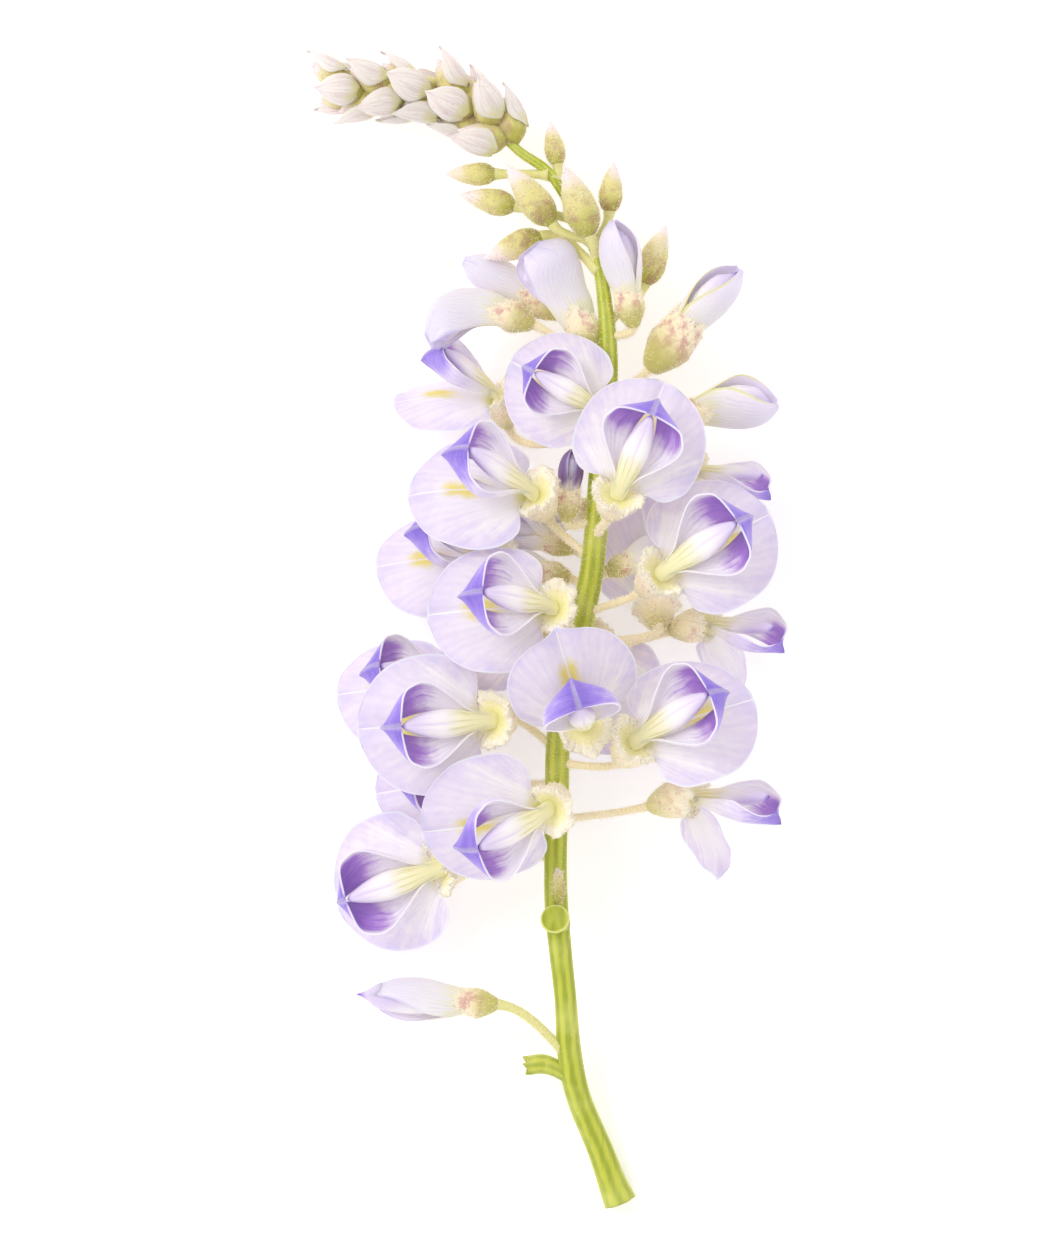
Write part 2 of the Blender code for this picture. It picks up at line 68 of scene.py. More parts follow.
def unit(v):
    return v / np.maximum(np.linalg.norm(v, axis=-1, keepdims=True), 1e-12)


def bell(x, width):
    return np.exp(-((x / width) ** 2))


def stepUp(value, low, high):
    u = np.clip((value - low) / (high - low), 0, 1)
    return u * u * (3 - 2 * u)


def turnsRound(sides):
    return np.linspace(0, 2 * math.pi, sides, endpoint=False)


def frameOf(place, heading, pitch, roll):
    # place and the three directions E, S, N of a local frame
    h, p, r = (math.radians(a) for a in (heading, pitch, roll))
    e = np.array([math.cos(h) * math.cos(p), math.sin(h) * math.cos(p), math.sin(p)])
    level = np.array([-math.cos(h) * math.sin(p), -math.sin(h) * math.sin(p), math.cos(p)])
    n = level * math.cos(r) + np.cross(level, e) * math.sin(r)
    return np.array(place, float), np.array([e, np.cross(n, e), n])


def placed(points, local):
    # local (E, S, N) points to the raceme's own millimetres
    place, axes = local
    return points @ axes + place


def fromAxes(a, s, u, steep):
    # (E, S, N) from distances along the calyx's axis, sideways and towards the banner
    c, d = math.cos(math.radians(steep)), math.sin(math.radians(steep))
    return np.stack(np.broadcast_arrays(c * a + d * u, s, d * a - c * u), axis=-1)


def raised(e, s, n, reflex):
    # turned about the calyx mouth by how far this flower's wings stand up past 30 degrees
    more = math.radians(reflex - 30)
    c, d = math.cos(more), math.sin(more)
    return np.stack(np.broadcast_arrays(c * e - d * n, s, d * e + c * n), axis=-1)


# Shapes: a dictionary of points, faces and values at the points

def newShape(co, quads, tris, **values):
    quads = np.asarray(quads, int).reshape(-1, 4)
    tris = np.asarray(tris, int).reshape(-1, 3)
    return {"co": co, "quads": quads, "tris": tris, "values": values}


def gridQuads(rows, columns, wrap=False):
    i, j = np.meshgrid(np.arange(rows - 1), np.arange(columns if wrap else columns - 1), indexing="ij")
    k = (j + 1) % columns
    corners = (i * columns + j, i * columns + k, (i + 1) * columns + k, (i + 1) * columns + j)
    return np.stack(corners, axis=-1).reshape(-1, 4)


def sheetGrid(rows, columns, low=-1):
    # t along from 0 to 1 and x across from low to 1, its columns closer together at the rims
    t = np.linspace(0, 1, rows)[:, None]
    x = np.sin(np.linspace(low, 1, columns) * math.pi / 2)[None]
    return np.broadcast_arrays(t, x)


def closedSheet(middle, thickness, across, along, rim, rimShare=0.45, flip=False):
    # a petal: its middle surface moved out and in by half its thickness along its normals, the
    # thickness going to rimShare of itself at the rim, and the two faces joined round the edge
    rows, columns = middle.shape[:2]
    normal = unit(np.cross(np.gradient(middle, axis=1), np.gradient(middle, axis=0)))
    if flip:
        normal = -normal
    half = (thickness / 2 * (1 + (rimShare - 1) * rim))[..., None]
    count = rows * columns
    co = np.concatenate([(middle + normal * half).reshape(-1, 3), (middle - normal * half).reshape(-1, 3)])
    top = gridQuads(rows, columns)
    edge = np.concatenate([
        np.arange(columns),
        np.arange(1, rows) * columns + columns - 1,
        (rows - 1) * columns + np.arange(columns - 2, -1, -1),
        np.arange(rows - 2, 0, -1) * columns,
    ])
    after = np.roll(edge, -1)
    sides = np.stack([edge, edge + count, after + count, after], axis=-1)
    quads = np.concatenate([top, top[:, ::-1] + count, sides])
    if flip:
        quads = quads[:, ::-1]
    face = np.repeat([1.0, -1.0], count)
    petal = np.stack([np.tile(across.ravel(), 2), np.tile(along.ravel(), 2), face], axis=-1)
    return newShape(co, quads, [], petal=petal, rim=np.tile(rim.ravel(), 2), fan=petal[:, 0])


def closedBody(body, face=None):
    # rings of points, closed at both ends by the middle of the first and of the last ring
    rows, sides = body.shape[:2]
    co = np.concatenate([body.reshape(-1, 3), body[:1].mean(axis=1), body[-1:].mean(axis=1)])
    k = np.arange(sides)
    low = np.stack([np.full(sides, rows * sides), (k + 1) % sides, k], axis=-1)
    top = (rows - 1) * sides
    high = np.stack([np.full(sides, rows * sides + 1), top + k, top + (k + 1) % sides], axis=-1)
    along = np.repeat(np.linspace(0, 1, rows), sides)
    turn = np.tile(np.linspace(0, 2, sides, endpoint=False), rows)
    face = np.zeros(rows * sides) if face is None else np.repeat(face, sides)
    petal = np.stack([turn, along, face], axis=-1)
    petal = np.concatenate([petal, [[0, 0, face[0]], [0, 1, face[-1]]]])
    quads = gridQuads(rows, sides, wrap=True)
    return outward(newShape(co, quads, np.concatenate([low, high]), petal=petal, fan=petal[:, 0]))


def outward(shape):
    # turned over if its faces point in
    co = shape["co"]
    a, b, c, d = (co[shape["quads"][:, k]] for k in range(4))
    volume = np.einsum("ij,ij->", a, np.cross(b, c)) + np.einsum("ij,ij->", a, np.cross(c, d))
    a, b, c = (co[shape["tris"][:, k]] for k in range(3))
    volume += np.einsum("ij,ij->", a, np.cross(b, c))
    if volume < 0:
        shape["quads"] = shape["quads"][:, ::-1]
        shape["tris"] = shape["tris"][:, ::-1]
    return shape


def ringsAlong(points, radii, sides, ridge=0.0, ridges=6):
    # rings round a path, each square to it, with shallow ridges along it
    points = np.asarray(points, float)
    heading = unit(np.gradient(points, axis=0))
    spare = np.eye(3)[np.argmin(np.abs(heading).sum(axis=0))]
    side = unit(np.cross(heading, spare))
    up = np.cross(side, heading)
    turn = turnsRound(sides)
    reach = np.asarray(radii, float)[:, None] * (1 + ridge * np.sin(ridges * turn))[None]
    ring = side[:, None] * np.cos(turn)[None, :, None] + up[:, None] * np.sin(turn)[None, :, None]
    return points[:, None] + ring * reach[..., None]


def hairsOn(shape, count, length, thick, lean=0.35, weight=None):
    # thin three-sided cones on faces picked at random, leaning a little from the normal
    quads = shape["quads"]
    co = shape["co"]
    a, b, c, d = (co[quads[:, k]] for k in range(4))
    normal = np.cross(c - a, d - b)
    share = np.linalg.norm(normal, axis=1)
    if weight is not None:
        share = share * weight[quads].mean(axis=1)
    pick = chance.choice(len(quads), size=count, p=share / share.sum())
    u, v = chance.random((2, count, 1))
    foot = (a[pick] * (1 - u) + b[pick] * u) * (1 - v) + (d[pick] * (1 - u) + c[pick] * u) * v
    out = unit(unit(normal[pick]) + chance.normal(0, lean, (count, 3)))
    side = unit(np.cross(out, chance.normal(0, 1, (count, 3))))
    other = np.cross(out, side)
    reach = length * (0.5 + chance.random((count, 1)))
    thirds = (0, 2.094, 4.189)  # of a turn
    corners = [foot + (side * math.cos(g) + other * math.sin(g)) * thick - out * thick for g in thirds]
    co = np.stack(corners + [foot + out * reach], axis=1).reshape(-1, 3)
    base = np.arange(count)[:, None] * 4
    tris = np.concatenate([base + np.array(f) for f in ((0, 1, 3), (1, 2, 3), (2, 0, 3), (0, 2, 1))])
    return newShape(co, [], tris)


def newObject(name, data):
    thing = bpy.data.objects.new(name, data)
    bpy.context.scene.collection.objects.link(thing)
    return thing


def makePiece(name, shapes, looks, nodes, kinds=None):
    # joins the shapes into one mesh, with a material slot for each kind of shape
    kinds = kinds or [0] * len(shapes)
    starts = np.concatenate([[0], np.cumsum([len(s["co"]) for s in shapes])]).astype(int)
    co = (np.concatenate([s["co"] for s in shapes]) + originShift) * mm
    co[:, 2] = np.maximum(co[:, 2], lowest * mm)
    faces = []
    index = []
    for shape, start, kind in zip(shapes, starts, kinds):
        faces += (shape["quads"] + start).tolist() + (shape["tris"] + start).tolist()
        index += [kind] * (len(shape["quads"]) + len(shape["tris"]))
    mesh = bpy.data.meshes.new(name)
    mesh.from_pydata(co.tolist(), [], faces)
    mesh.polygons.foreach_set("material_index", index)
    for label, width in (("petal", 3), ("rim", 1), ("fan", 1)):
        parts = [s["values"].get(label, np.zeros(len(s["co"]) * width)) for s in shapes]
        kind, field = ("FLOAT_VECTOR", "vector") if width == 3 else ("FLOAT", "value")
        values = np.concatenate([np.ravel(part) for part in parts])
        mesh.attributes.new(label, kind, "POINT").data.foreach_set(field, values)
    mesh.update()
    mesh.shade_smooth()
    for look in looks:
        mesh.materials.append(bpy.data.materials[look])
    piece = newObject(name, mesh)
    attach(piece, "root")
    if nodes:
        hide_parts(*nodes)


def makeGreen(name, shapes, look):
    makePiece(name, shapes, [look], ["stem"])


# Node helpers: a node or socket knows its tree, so each new node goes where the given ones are

tissue = {
    # how every surface shines and lets light through, and the colour of the painted glow, an emission that
    # lightens petals
    "specular": 0.35,
    "scatter": (1.0, 0.85, 1.0),
    "scatterDepth": 0.0014,
    "glow": (1.0, 0.99, 0.99, 1.0),
}


def srgb(colour):
    c = np.array(colour, float) / 255
    linear = np.where(c <= 0.04045, c / 12.92, ((c + 0.055) / 1.055) ** 2.4)
    return (*linear.tolist(), 1.0)


def newMaterial(name, roughness, sheen=0.0, subsurface=0.0, glow=0.0, glowColour=tissue["glow"]):
    # glow is an emission strength: on the plant's tissues it is painted glow that lightens them
    material = bpy.data.materials.new(name)
    material.use_nodes = True
    shader = material.node_tree.nodes["Principled BSDF"]
    setInputs(shader, {
        "Roughness": roughness,
        "Sheen Weight": sheen,
        "Specular IOR Level": tissue["specular"],
        "Emission Color": glowColour,
        "Emission Strength": glow,
        "Subsurface Weight": subsurface,
        "Subsurface Radius": tissue["scatter"],
        "Subsurface Scale": tissue["scatterDepth"],
    })
    return shader


def newNode(kind, *given):
    return next(thing for thing in given if hasattr(thing, "id_data")).id_data.nodes.new(kind)


def put(socket, value):
    if isinstance(value, bpy.types.NodeSocket):
        socket.id_data.links.new(value, socket)
    else:
        socket.default_value = value


def setInputs(node, values):
    for label, value in values.items():
        put(node.inputs[label], value)


def fill(node, *values):
    for socket, value in zip(node.inputs, values):
        put(socket, value)
    return node


def maths(operation, *values):
    node = newNode("ShaderNodeMath", *values)
    node.operation = operation
    return fill(node, *values).outputs[0]


def plus(first, *rest):
    for value in rest:
        first = maths("ADD", first, value)
    return first


def times(first, *rest):
    for value in rest:
        first = maths("MULTIPLY", first, value)
    return first


def scaled(value, factor, shift):
    return maths("MULTIPLY_ADD", value, factor, shift)


def between(value, low, high, start=0.0, end=1.0):
    # smooth step from start to end as the value goes from low to high
    node = newNode("ShaderNodeMapRange", value)
    node.interpolation_type = "SMOOTHSTEP"
    if low > high:
        low, high, start, end = high, low, end, start
    return fill(node, value, low, high, start, end).outputs[0]


def mixed(factor, a, b, blend="MIX"):
    node = newNode("ShaderNodeMix", factor, a, b)
    node.data_type = "RGBA"
    node.blend_type = blend
    put(node.inputs[0], factor)
    put(node.inputs[6], srgb(a) if isinstance(a, tuple) else a)
    put(node.inputs[7], srgb(b) if isinstance(b, tuple) else b)
    return node.outputs[2]


def layered(colour, *layers):
    # each layer is a factor and the colour that it lays over those before it
    for factor, over in layers:
        colour = mixed(factor, colour, over)
    return colour


def noise(vector, scale, detail=2.0):
    node = newNode("ShaderNodeTexNoise", vector)
    setInputs(node, {"Vector": vector, "Scale": scale, "Detail": detail})
    return node.outputs["Fac"]


def attribute(owner, name, output="Fac"):
    node = newNode("ShaderNodeAttribute", owner)
    node.attribute_name = name
    return node.outputs[output]


def objectPlace(owner):
    return newNode("ShaderNodeTexCoord", owner).outputs["Object"]


def petalParts(owner, *names):
    # those asked for of across, along and face at the petal's points
    node = newNode("ShaderNodeSeparateXYZ", owner)
    put(node.inputs[0], attribute(owner, "petal", "Vector"))
    parts = dict(zip(("across", "along", "face"), node.outputs))
    return [parts[name] for name in names]


def newGroup(name, given, results):
    # a group of plain numbers: its inputs with their values, and its outputs
    group = bpy.data.node_groups.new(name, "ShaderNodeTree")
    for label, value in given.items():
        socket = group.interface.new_socket(label, in_out="INPUT", socket_type="NodeSocketFloat")
        socket.default_value = value
    for label in results:
        group.interface.new_socket(label, in_out="OUTPUT", socket_type="NodeSocketFloat")
    return group.nodes.new("NodeGroupInput"), group.nodes.new("NodeGroupOutput")


def useGroup(owner, group, **values):
    node = newNode("ShaderNodeGroup", owner)
    node.node_tree = group
    setInputs(node, values)
    return node.outputs


def veinGroup():
    # fine veins fanning from a petal's base, with streaks of colour along them
    given, out = newGroup("petalVeins", {"Count": 22.0, "Bend": 0.5}, ("Height", "Streak", "Mottle"))
    [along] = petalParts(given, "along")
    place = objectPlace(given)
    soft = noise(place, 180.0)
    wobble = times(maths("SUBTRACT", soft, 0.5), given.outputs["Bend"], along)
    lane = plus(attribute(given, "fan"), wobble)
    wave = maths("SINE", times(lane, given.outputs["Count"], 3.1416))
    patchy = between(noise(place, 700.0), 0.35, 0.65)
    lanes = newNode("ShaderNodeCombineXYZ", given)
    fill(lanes, times(lane, 13.0), times(along, 1.3), times(soft, 2.0))
    fine = scaled(noise(place, 2600.0), 0.4, times(wave, patchy, 0.5))
    fill(out, fine, noise(lanes.outputs[0], 1.0, 4.0), noise(place, 420.0, 3.0))
    return out.id_data


def fleckGroup():
    # small uneven flecks, denser where the amount is high
    given, out = newGroup("plantFlecks", {"Amount": 0.5, "Scale": 900.0}, ("Mask", "Height"))
    place = objectPlace(given)
    edge = maths("SUBTRACT", 0.98, times(given.outputs["Amount"], 0.36))
    edge = maths("SUBTRACT", edge, times(noise(place, 260.0), 0.4))
    over = maths("SUBTRACT", noise(place, given.outputs["Scale"], 3.0), edge)
    fill(out, between(over, 0.0, 0.12), noise(place, 1800.0, 3.0))
    return out.id_data


veins = veinGroup()
flecks = fleckGroup()


def veinShaded(colour, vein, strength, hollow):
    # multiplied by the hollow colour between the veins
    shade = scaled(vein["Height"], strength, 0.6)
    return mixed(1.0, colour, mixed(shade, hollow, plainWhite), "MULTIPLY")


def finish(shader, colour, height, strength, distance):
    bump = newNode("ShaderNodeBump", shader)
    setInputs(bump, {"Strength": strength, "Distance": distance, "Height": height})
    setInputs(shader, {"Base Color": colour, "Normal": bump.outputs["Normal"]})


# Banner petals

banner = {
    "keys": (0, 0.08, 0.16, 0.3, 0.45, 0.6, 0.75, 0.88, 0.96, 1),
    "halfWidth": (1.1, 1.5, 5.4, 8.6, 9.7, 9.7, 8.7, 6.5, 3.9, 1.2),
    "sweep": (0, 0.2, 2.4, 3.0, 2.6, 1.6, 0.9, 0.5, 0.3, 0.1),
    "rise": (-1.1, -1.1, -1.1, -0.9, -0.8, -1.1, -1.7, -2.4, -2.9, -3.2),
    "claw": (-0.1, -2.15),
    "clawReach": 3.0,
    "start": 0.8,
    "length": 17.8,
    "sideFall": 1.7,
    "crease": 0.45,
    "thickness": 0.2,
    "rows": 52,
    "columns": 43,
    "white": (248, 243, 247),
    "lilac": (236, 225, 243),
    "deep": (214, 199, 236),
    "edge": (204, 200, 240),
    "yellow": (230, 210, 74),
    "throat": (222, 216, 128),
    "creaseHighlight": (253, 251, 255),
    "hollow": (243, 238, 249),
    # painted highlight colour for the rolled rim
    "rim": (240, 241, 255),
}


def bannerSheet(local, reflex, size, share, wave):
    # across x and along t: width, sweep and height by curves of t, sides falling with the
    # square of the distance, a crease down the upper half, and low waves near the rim
    t, x = sheetGrid(banner["rows"], banner["columns"])
    t = t + 0.06 * np.sin(2 * math.pi * t) / (2 * math.pi)
    halfWidth = curve(banner, "halfWidth", t) * (1 + 0.03 * np.sin(wave) * np.sign(x)) * share
    s = x * halfWidth
    e = share * (banner["length"] * t - curve(banner, "sweep", t) * x * x)
    e = e + banner["start"] + banner["clawReach"] * (1 - share)
    n = curve(banner, "rise", t) - banner["sideFall"] * (s / 9.7) ** 2
    n = n - banner["crease"] * bell(s, 0.7) * np.clip(1.6 * t - 0.3, 0, 1)
    n = n + 0.35 * bell(np.abs(s) - 2.4, 1.5) * stepUp(t, 0.3, 0.7)
    outer = np.clip((t - 0.12) / 0.3, 0, 1) * np.maximum(np.abs(x), np.clip(2 * t - 1, 0, 1)) ** 3
    turn = np.arctan2(s, e - 9.0)
    n = n + outer * 0.34 * np.sin(3 * turn + wave) + outer * 0.14 * np.sin(8 * turn + 2 * wave)
    n = n + 0.2 * np.sin(x * 2.2 + wave) * np.clip(t * 2, 0, 1)
    inset = np.minimum((1 - np.abs(x)) * halfWidth, (1 - t) * banner["length"] * 0.9 + 0.02)
    n = n + 0.16 * bell(inset, 0.3) * stepUp(t, 0.1, 0.3)
    low = (np.clip(1 - t / 0.16, 0, 1) ** 2)[..., None]
    claw = raised(banner["claw"][0], s, banner["claw"][1], reflex)
    middle = claw * low + np.stack([e, s, n], axis=-1) * (1 - low)
    rim = bell(inset, 0.22) * np.clip(t / 0.1, 0, 1)
    made = closedSheet(placed(middle * size, local), banner["thickness"], x, t, rim, flip=True)
    made["values"]["fan"] = np.tile((np.arctan2(s, e + 1.5) / 1.4).ravel(), 2)
    if share < 1:
        petal = made["values"]["petal"]
        petal[:, 2] = np.where(petal[:, 1] > 0.3, -1.0, 0.2)
    return made


def bannerMaterial():
    # near white at the base, lilac outwards, bluer at the edge, a yellow mark, a painted highlight down the
    # crease and a painted highlight along the rolled rim
    shader = newMaterial("bannerPetal", 0.5, sheen=0.1, subsurface=0.5)
    across, along, face = petalParts(shader, "across", "along", "face")
    away = maths("ABSOLUTE", across)
    front = between(face, -0.2, 0.4)
    vein = useGroup(shader, veins, Count=36.0, Bend=0.12)
    uneven = scaled(vein["Mottle"], 0.5, -0.25)
    streak = scaled(vein["Streak"], 0.6, -0.3)
    outwards = plus(maths("MAXIMUM", away, scaled(along, 1.25, -0.25)), plus(streak, uneven))
    halo = times(between(away, 0.45, 0.1), between(along, 0.86, 0.62))
    ragged = scaled(uneven, 0.4, away)
    reachOut = plus(along, times(streak, 0.4))
    mark = times(between(ragged, 0.24, 0.06), between(reachOut, 0.76, 0.6), between(along, 0.25, 0.5))
    mark = times(mark, front, between(away, 0.0, 0.03, 0.35, 1.0), 0.9)
    colour = layered(
        banner["white"],
        (between(plus(along, uneven, streak), 0.16, 0.72), banner["lilac"]),
        (times(between(outwards, 0.5, 1.1), 0.85), banner["deep"]),
        (times(between(outwards, 0.86, 1.1), 0.6), banner["edge"]),
        (times(halo, 0.5), banner["white"]),
        (times(between(along, 0.16, 0.06), front), banner["throat"]),
        (mark, banner["yellow"]),
        # painted highlight: a near white line down the middle of the crease
        (times(between(away, 0.035, 0.008), between(along, 0.62, 0.74), 0.9), banner["creaseHighlight"]),
    )
    colour = veinShaded(colour, vein, 0.6, banner["hollow"])
    # painted highlight: a bluish white line along the rolled rim
    colour = mixed(times(attribute(shader, "rim"), 0.75), colour, banner["rim"])
    finish(shader, colour, vein["Height"], 0.12, 0.00008)


# Wings and keel

wing = {
    "keys": (0, 0.15, 0.35, 0.55, 0.75, 0.9, 1),
    "inner": (
        (0.6, 2.3, 5.0, 8.0, 11.0, 13.5, 14.8),
        (0.4, 0.9, 1.6, 1.8, 1.3, 0.5, 0.0),
        (-0.2, 0.1, 0.8, 1.5, 2.1, 2.8, 3.3),
    ),
    "side": (
        (0.6, 2.5, 5.0, 7.7, 10.4, 12.5, 13.8),
        (0.7, 1.5, 3.5, 5.1, 4.7, 2.8, 0.0),
        (0.2, 0.7, 1.6, 2.6, 3.5, 4.7, 5.5),
    ),
    "rim": (
        (0.6, 2.5, 4.9, 7.3, 9.4, 11.0, 11.6),
        (0.8, 1.6, 3.8, 5.6, 5.6, 3.9, 0.0),
        (0.8, 1.7, 3.6, 5.2, 6.4, 7.0, 6.8),
    ),
    "thickness": 0.22,
    "rows": 42,
    "columns": 23,
    "white": (250, 245, 250),
    "inside": (168, 126, 206),
    "deep": (124, 76, 182),
    "beak": (152, 128, 222),
    "tip": (120, 94, 204),
    "outside": (224, 212, 243),
    "line": (242, 235, 251),
    "hollow": (236, 228, 248),
}

keel = {
    "keys": (0, 0.12, 0.3, 0.55, 0.8, 0.93, 1),
    "length": (-2.0, 1.5, 3.8, 6.6, 9.4, 10.9, 11.6),
    "halfWidth": (1.25, 1.35, 1.8, 2.0, 1.35, 0.65, 0.2),
    "centre": (-2.1, 0.8, 2.2, 3.7, 5.1, 5.9, 6.3),
    "halfDepth": (0.9, 1.1, 1.3, 1.5, 1.2, 0.7, 0.3),
    "rings": 40,
    "sides": 36,
    "white": (248, 243, 243),
    "lilac": (222, 208, 238),
    "cream": (245, 239, 204),
    "green": (204, 200, 108),
    "tip": (134, 104, 196),
}


def wingSheet(local, reflex, size, side, wave, spread, closed):
    # from the inner margin to the rim through the bowl's side, a parabola through the three;
    # a closed pair has its rims drawn down to the tip
    t, v = sheetGrid(wing["rows"], wing["columns"], 0)
    rows = (wing["inner"], wing["side"], wing["rim"])
    inner, middle, rim = ([smooth(wing["keys"], part, t) for part in row] for row in rows)
    drawn = closed * stepUp(t, 0.55, 1.0)
    rim[0], rim[2] = rim[0] + 1.7 * drawn, rim[2] - 2.4 * drawn
    middle[0], middle[2] = middle[0] + 0.2 * drawn, middle[2] - 1.2 * drawn
    first, second, third = 2 * (v - 0.5) * (v - 1), 4 * v * (1 - v), 2 * v * (v - 0.5)
    e, s, n = (first * i + second * m + third * r for i, m, r in zip(inner, middle, rim))
    body = np.sin(math.pi * np.clip(t, 0, 1)) ** 0.5
    s = s * (1 + (spread - 1) * v * body)
    n = n + bell(1 - v, 0.3) * body * 0.16 * np.sin(7 * t + wave)
    s = s + bell(1 - v, 0.12) * body * 0.2
    sheet = raised(e, side * s, n, reflex)
    sheet = np.concatenate([sheet[:1] + fromAxes(-1.6, 0.0, 0.0, reflex + 24), sheet])
    v, t = (np.concatenate([q[:1], q]) for q in (v, t))
    margin = bell((1 - v) * 5.6, 0.17) * stepUp(t, 0.0, 0.12) * stepUp(1 - t, 0.0, 0.03)
    return closedSheet(placed(sheet * size, local), wing["thickness"], v, t, margin, 1.3, side < 0)


def keelBody(local, reflex, size):
    # an oval boat drawn to a point, with a groove where its two petals meet
    t = np.linspace(0, 1, keel["rings"])[:, None] ** 0.9
    turn = turnsRound(keel["sides"])[None]
    t, turn = np.broadcast_arrays(t, turn)
    shut = np.minimum(stepUp(t, -0.005, 0.05), stepUp(1 - t, -0.004, 0.03)) * 0.98 + 0.02
    s = curve(keel, "halfWidth", t) * np.sin(turn) * shut
    groove = 1 - 0.13 * bell(np.abs(turn - math.pi), 0.17) * stepUp(t, 0.12, 0.3)
    n = curve(keel, "centre", t)
    n = n - curve(keel, "halfDepth", t) * np.cos(turn) * groove * shut
    body = raised(curve(keel, "length", t), s, n, reflex)
    return closedBody(placed(body * size, local))


def wingMaterial():
    # purple patch inside beside the beak, blue-violet beak outside, white base, flare and rim, and a
    # painted highlight along the beak's ridge
    # a faint painted glow lightens the wing's white inside
    shader = newMaterial("wingPetal", 0.42, sheen=0.1, subsurface=0.4, glow=0.03)
    across, along, face = petalParts(shader, "across", "along", "face")
    vein = useGroup(shader, veins, Count=14.0, Bend=0.6)
    uneven = scaled(vein["Mottle"], 0.26, -0.13)
    streak = scaled(vein["Streak"], 0.5, -0.25)
    place = plus(along, uneven, times(streak, 0.6))
    flare = plus(across, times(between(along, 0.95, 0.6), 0.2))
    patch = times(between(place, 0.46, 0.74), between(flare, 1.08, 0.76))
    inner = layered(
        wing["white"],
        (patch, wing["inside"]),
        (times(patch, between(place, 0.62, 0.94)), wing["deep"]),
    )
    outer = layered(
        wing["white"],
        (between(place, 0.3, 0.6), wing["outside"]),
        (between(place, 0.66, 0.93), wing["beak"]),
        (between(place, 0.88, 1.06), wing["tip"]),
        # painted highlight: a pale line along the beak's folded ridge
        (times(between(along, 0.982, 1.0), 0.4), wing["line"]),
    )
    colour = mixed(between(face, -0.3, 0.3), inner, outer)
    colour = veinShaded(colour, vein, 0.7, wing["hollow"])
    line = times(between(attribute(shader, "rim"), 0.3, 0.95), between(along, 0.1, 0.6, 0.4, 0.9))
    base = times(between(along, 0.32, 0.08), 0.8)
    colour = layered(colour, (base, keel["cream"]), (line, wing["line"]))
    finish(shader, colour, vein["Height"], 0.2, 0.00008)


def keelMaterial():
    # white going lilac, cream with green stripes at the base, lilac painted shade on its flanks towards the
    # tip, a violet tip
    shader = newMaterial("keelPetal", 0.42, subsurface=0.45)
    across, along = petalParts(shader, "across", "along")
    vein = useGroup(shader, veins, Count=12.0, Bend=0.25)
    level = plus(along, times(scaled(vein["Streak"], 0.5, -0.25), 0.5))
    stripe = times(between(vein["Streak"], 0.46, 0.64), between(along, 0.46, 0.28))
    side = maths("ABSOLUTE", maths("SUBTRACT", maths("FRACT", across), 0.5))
    seam = times(between(maths("ABSOLUTE", maths("SUBTRACT", across, 1.0)), 0.05, 0.01), 0.5)
    colour = layered(
        keel["white"],
        (between(level, 0.45, 0.9), keel["lilac"]),
        (between(level, 0.46, 0.16), keel["cream"]),
        (times(stripe, 0.55), keel["green"]),
        (between(level, 0.2, 0.04), calyx["inside"]),
        # painted shade: lilac on the keel's flanks, growing towards the tip
        (times(between(side, 0.3, 0.0), between(along, 0.4, 0.8)), keel["lilac"]),
        (times(seam, between(along, 0.2, 0.5)), keel["lilac"]),
        (between(along, 0.9, 0.99), keel["tip"]),
    )
    finish(shader, colour, vein["Height"], 0.25, 0.00008)


# Calyces and their stalks

calyx = {
    "length": 7.0,
    "lowKeys": (-7.0, -6.85, -6.4, -5.4, -4.2, -3.15),
    "lowRadius": (0.5, 0.95, 1.35, 1.9, 2.45, 2.75),
    "rimRadius": 3.5,
    "floor": -1.1,
    "floorRadius": 1.95,
    "hug": 1.6,
    "turns": (0, 36, 54, 72, 90, 108, 126, 144, 162, 180),
    "teeth": (-2.0, -1.5, -1.1, -0.3, 0.3, 1.1, 0.4, 0.4, 0.9, 2.1),
    "rise": 36.0,
    "steepest": 73.0,
    "sides": 112,
    "cream": (252, 246, 230),
    "tan": (244, 230, 196),
    "olive": (192, 186, 94),
    "rust": (210, 164, 152),
    "purple": (192, 134, 142),
    "inside": (241, 235, 190),
    "depth": (212, 206, 100),
    # colour of the painted glow on calyces, pedicels and hairs
    "glow": (1.0, 0.93, 0.72, 1.0),
    "hairs": (900, 0.5, 0.055, 0.5),  # count, length, thickness, lean
}

pedicel = {
    "thick": 0.56,
    "rings": 22,
    "sides": 12,
    "hairs": (560, 0.42, 0.05, 0.4),
    "pale": (242, 226, 200),
    "sandy": (230, 216, 162),
    "green": (212, 212, 122),
}

# the hairs' glow is painted light: a cream emission that lightens them where they shade each other
hair = {"glow": 0.24, "light": (254, 250, 232), "sandy": (244, 228, 196)}


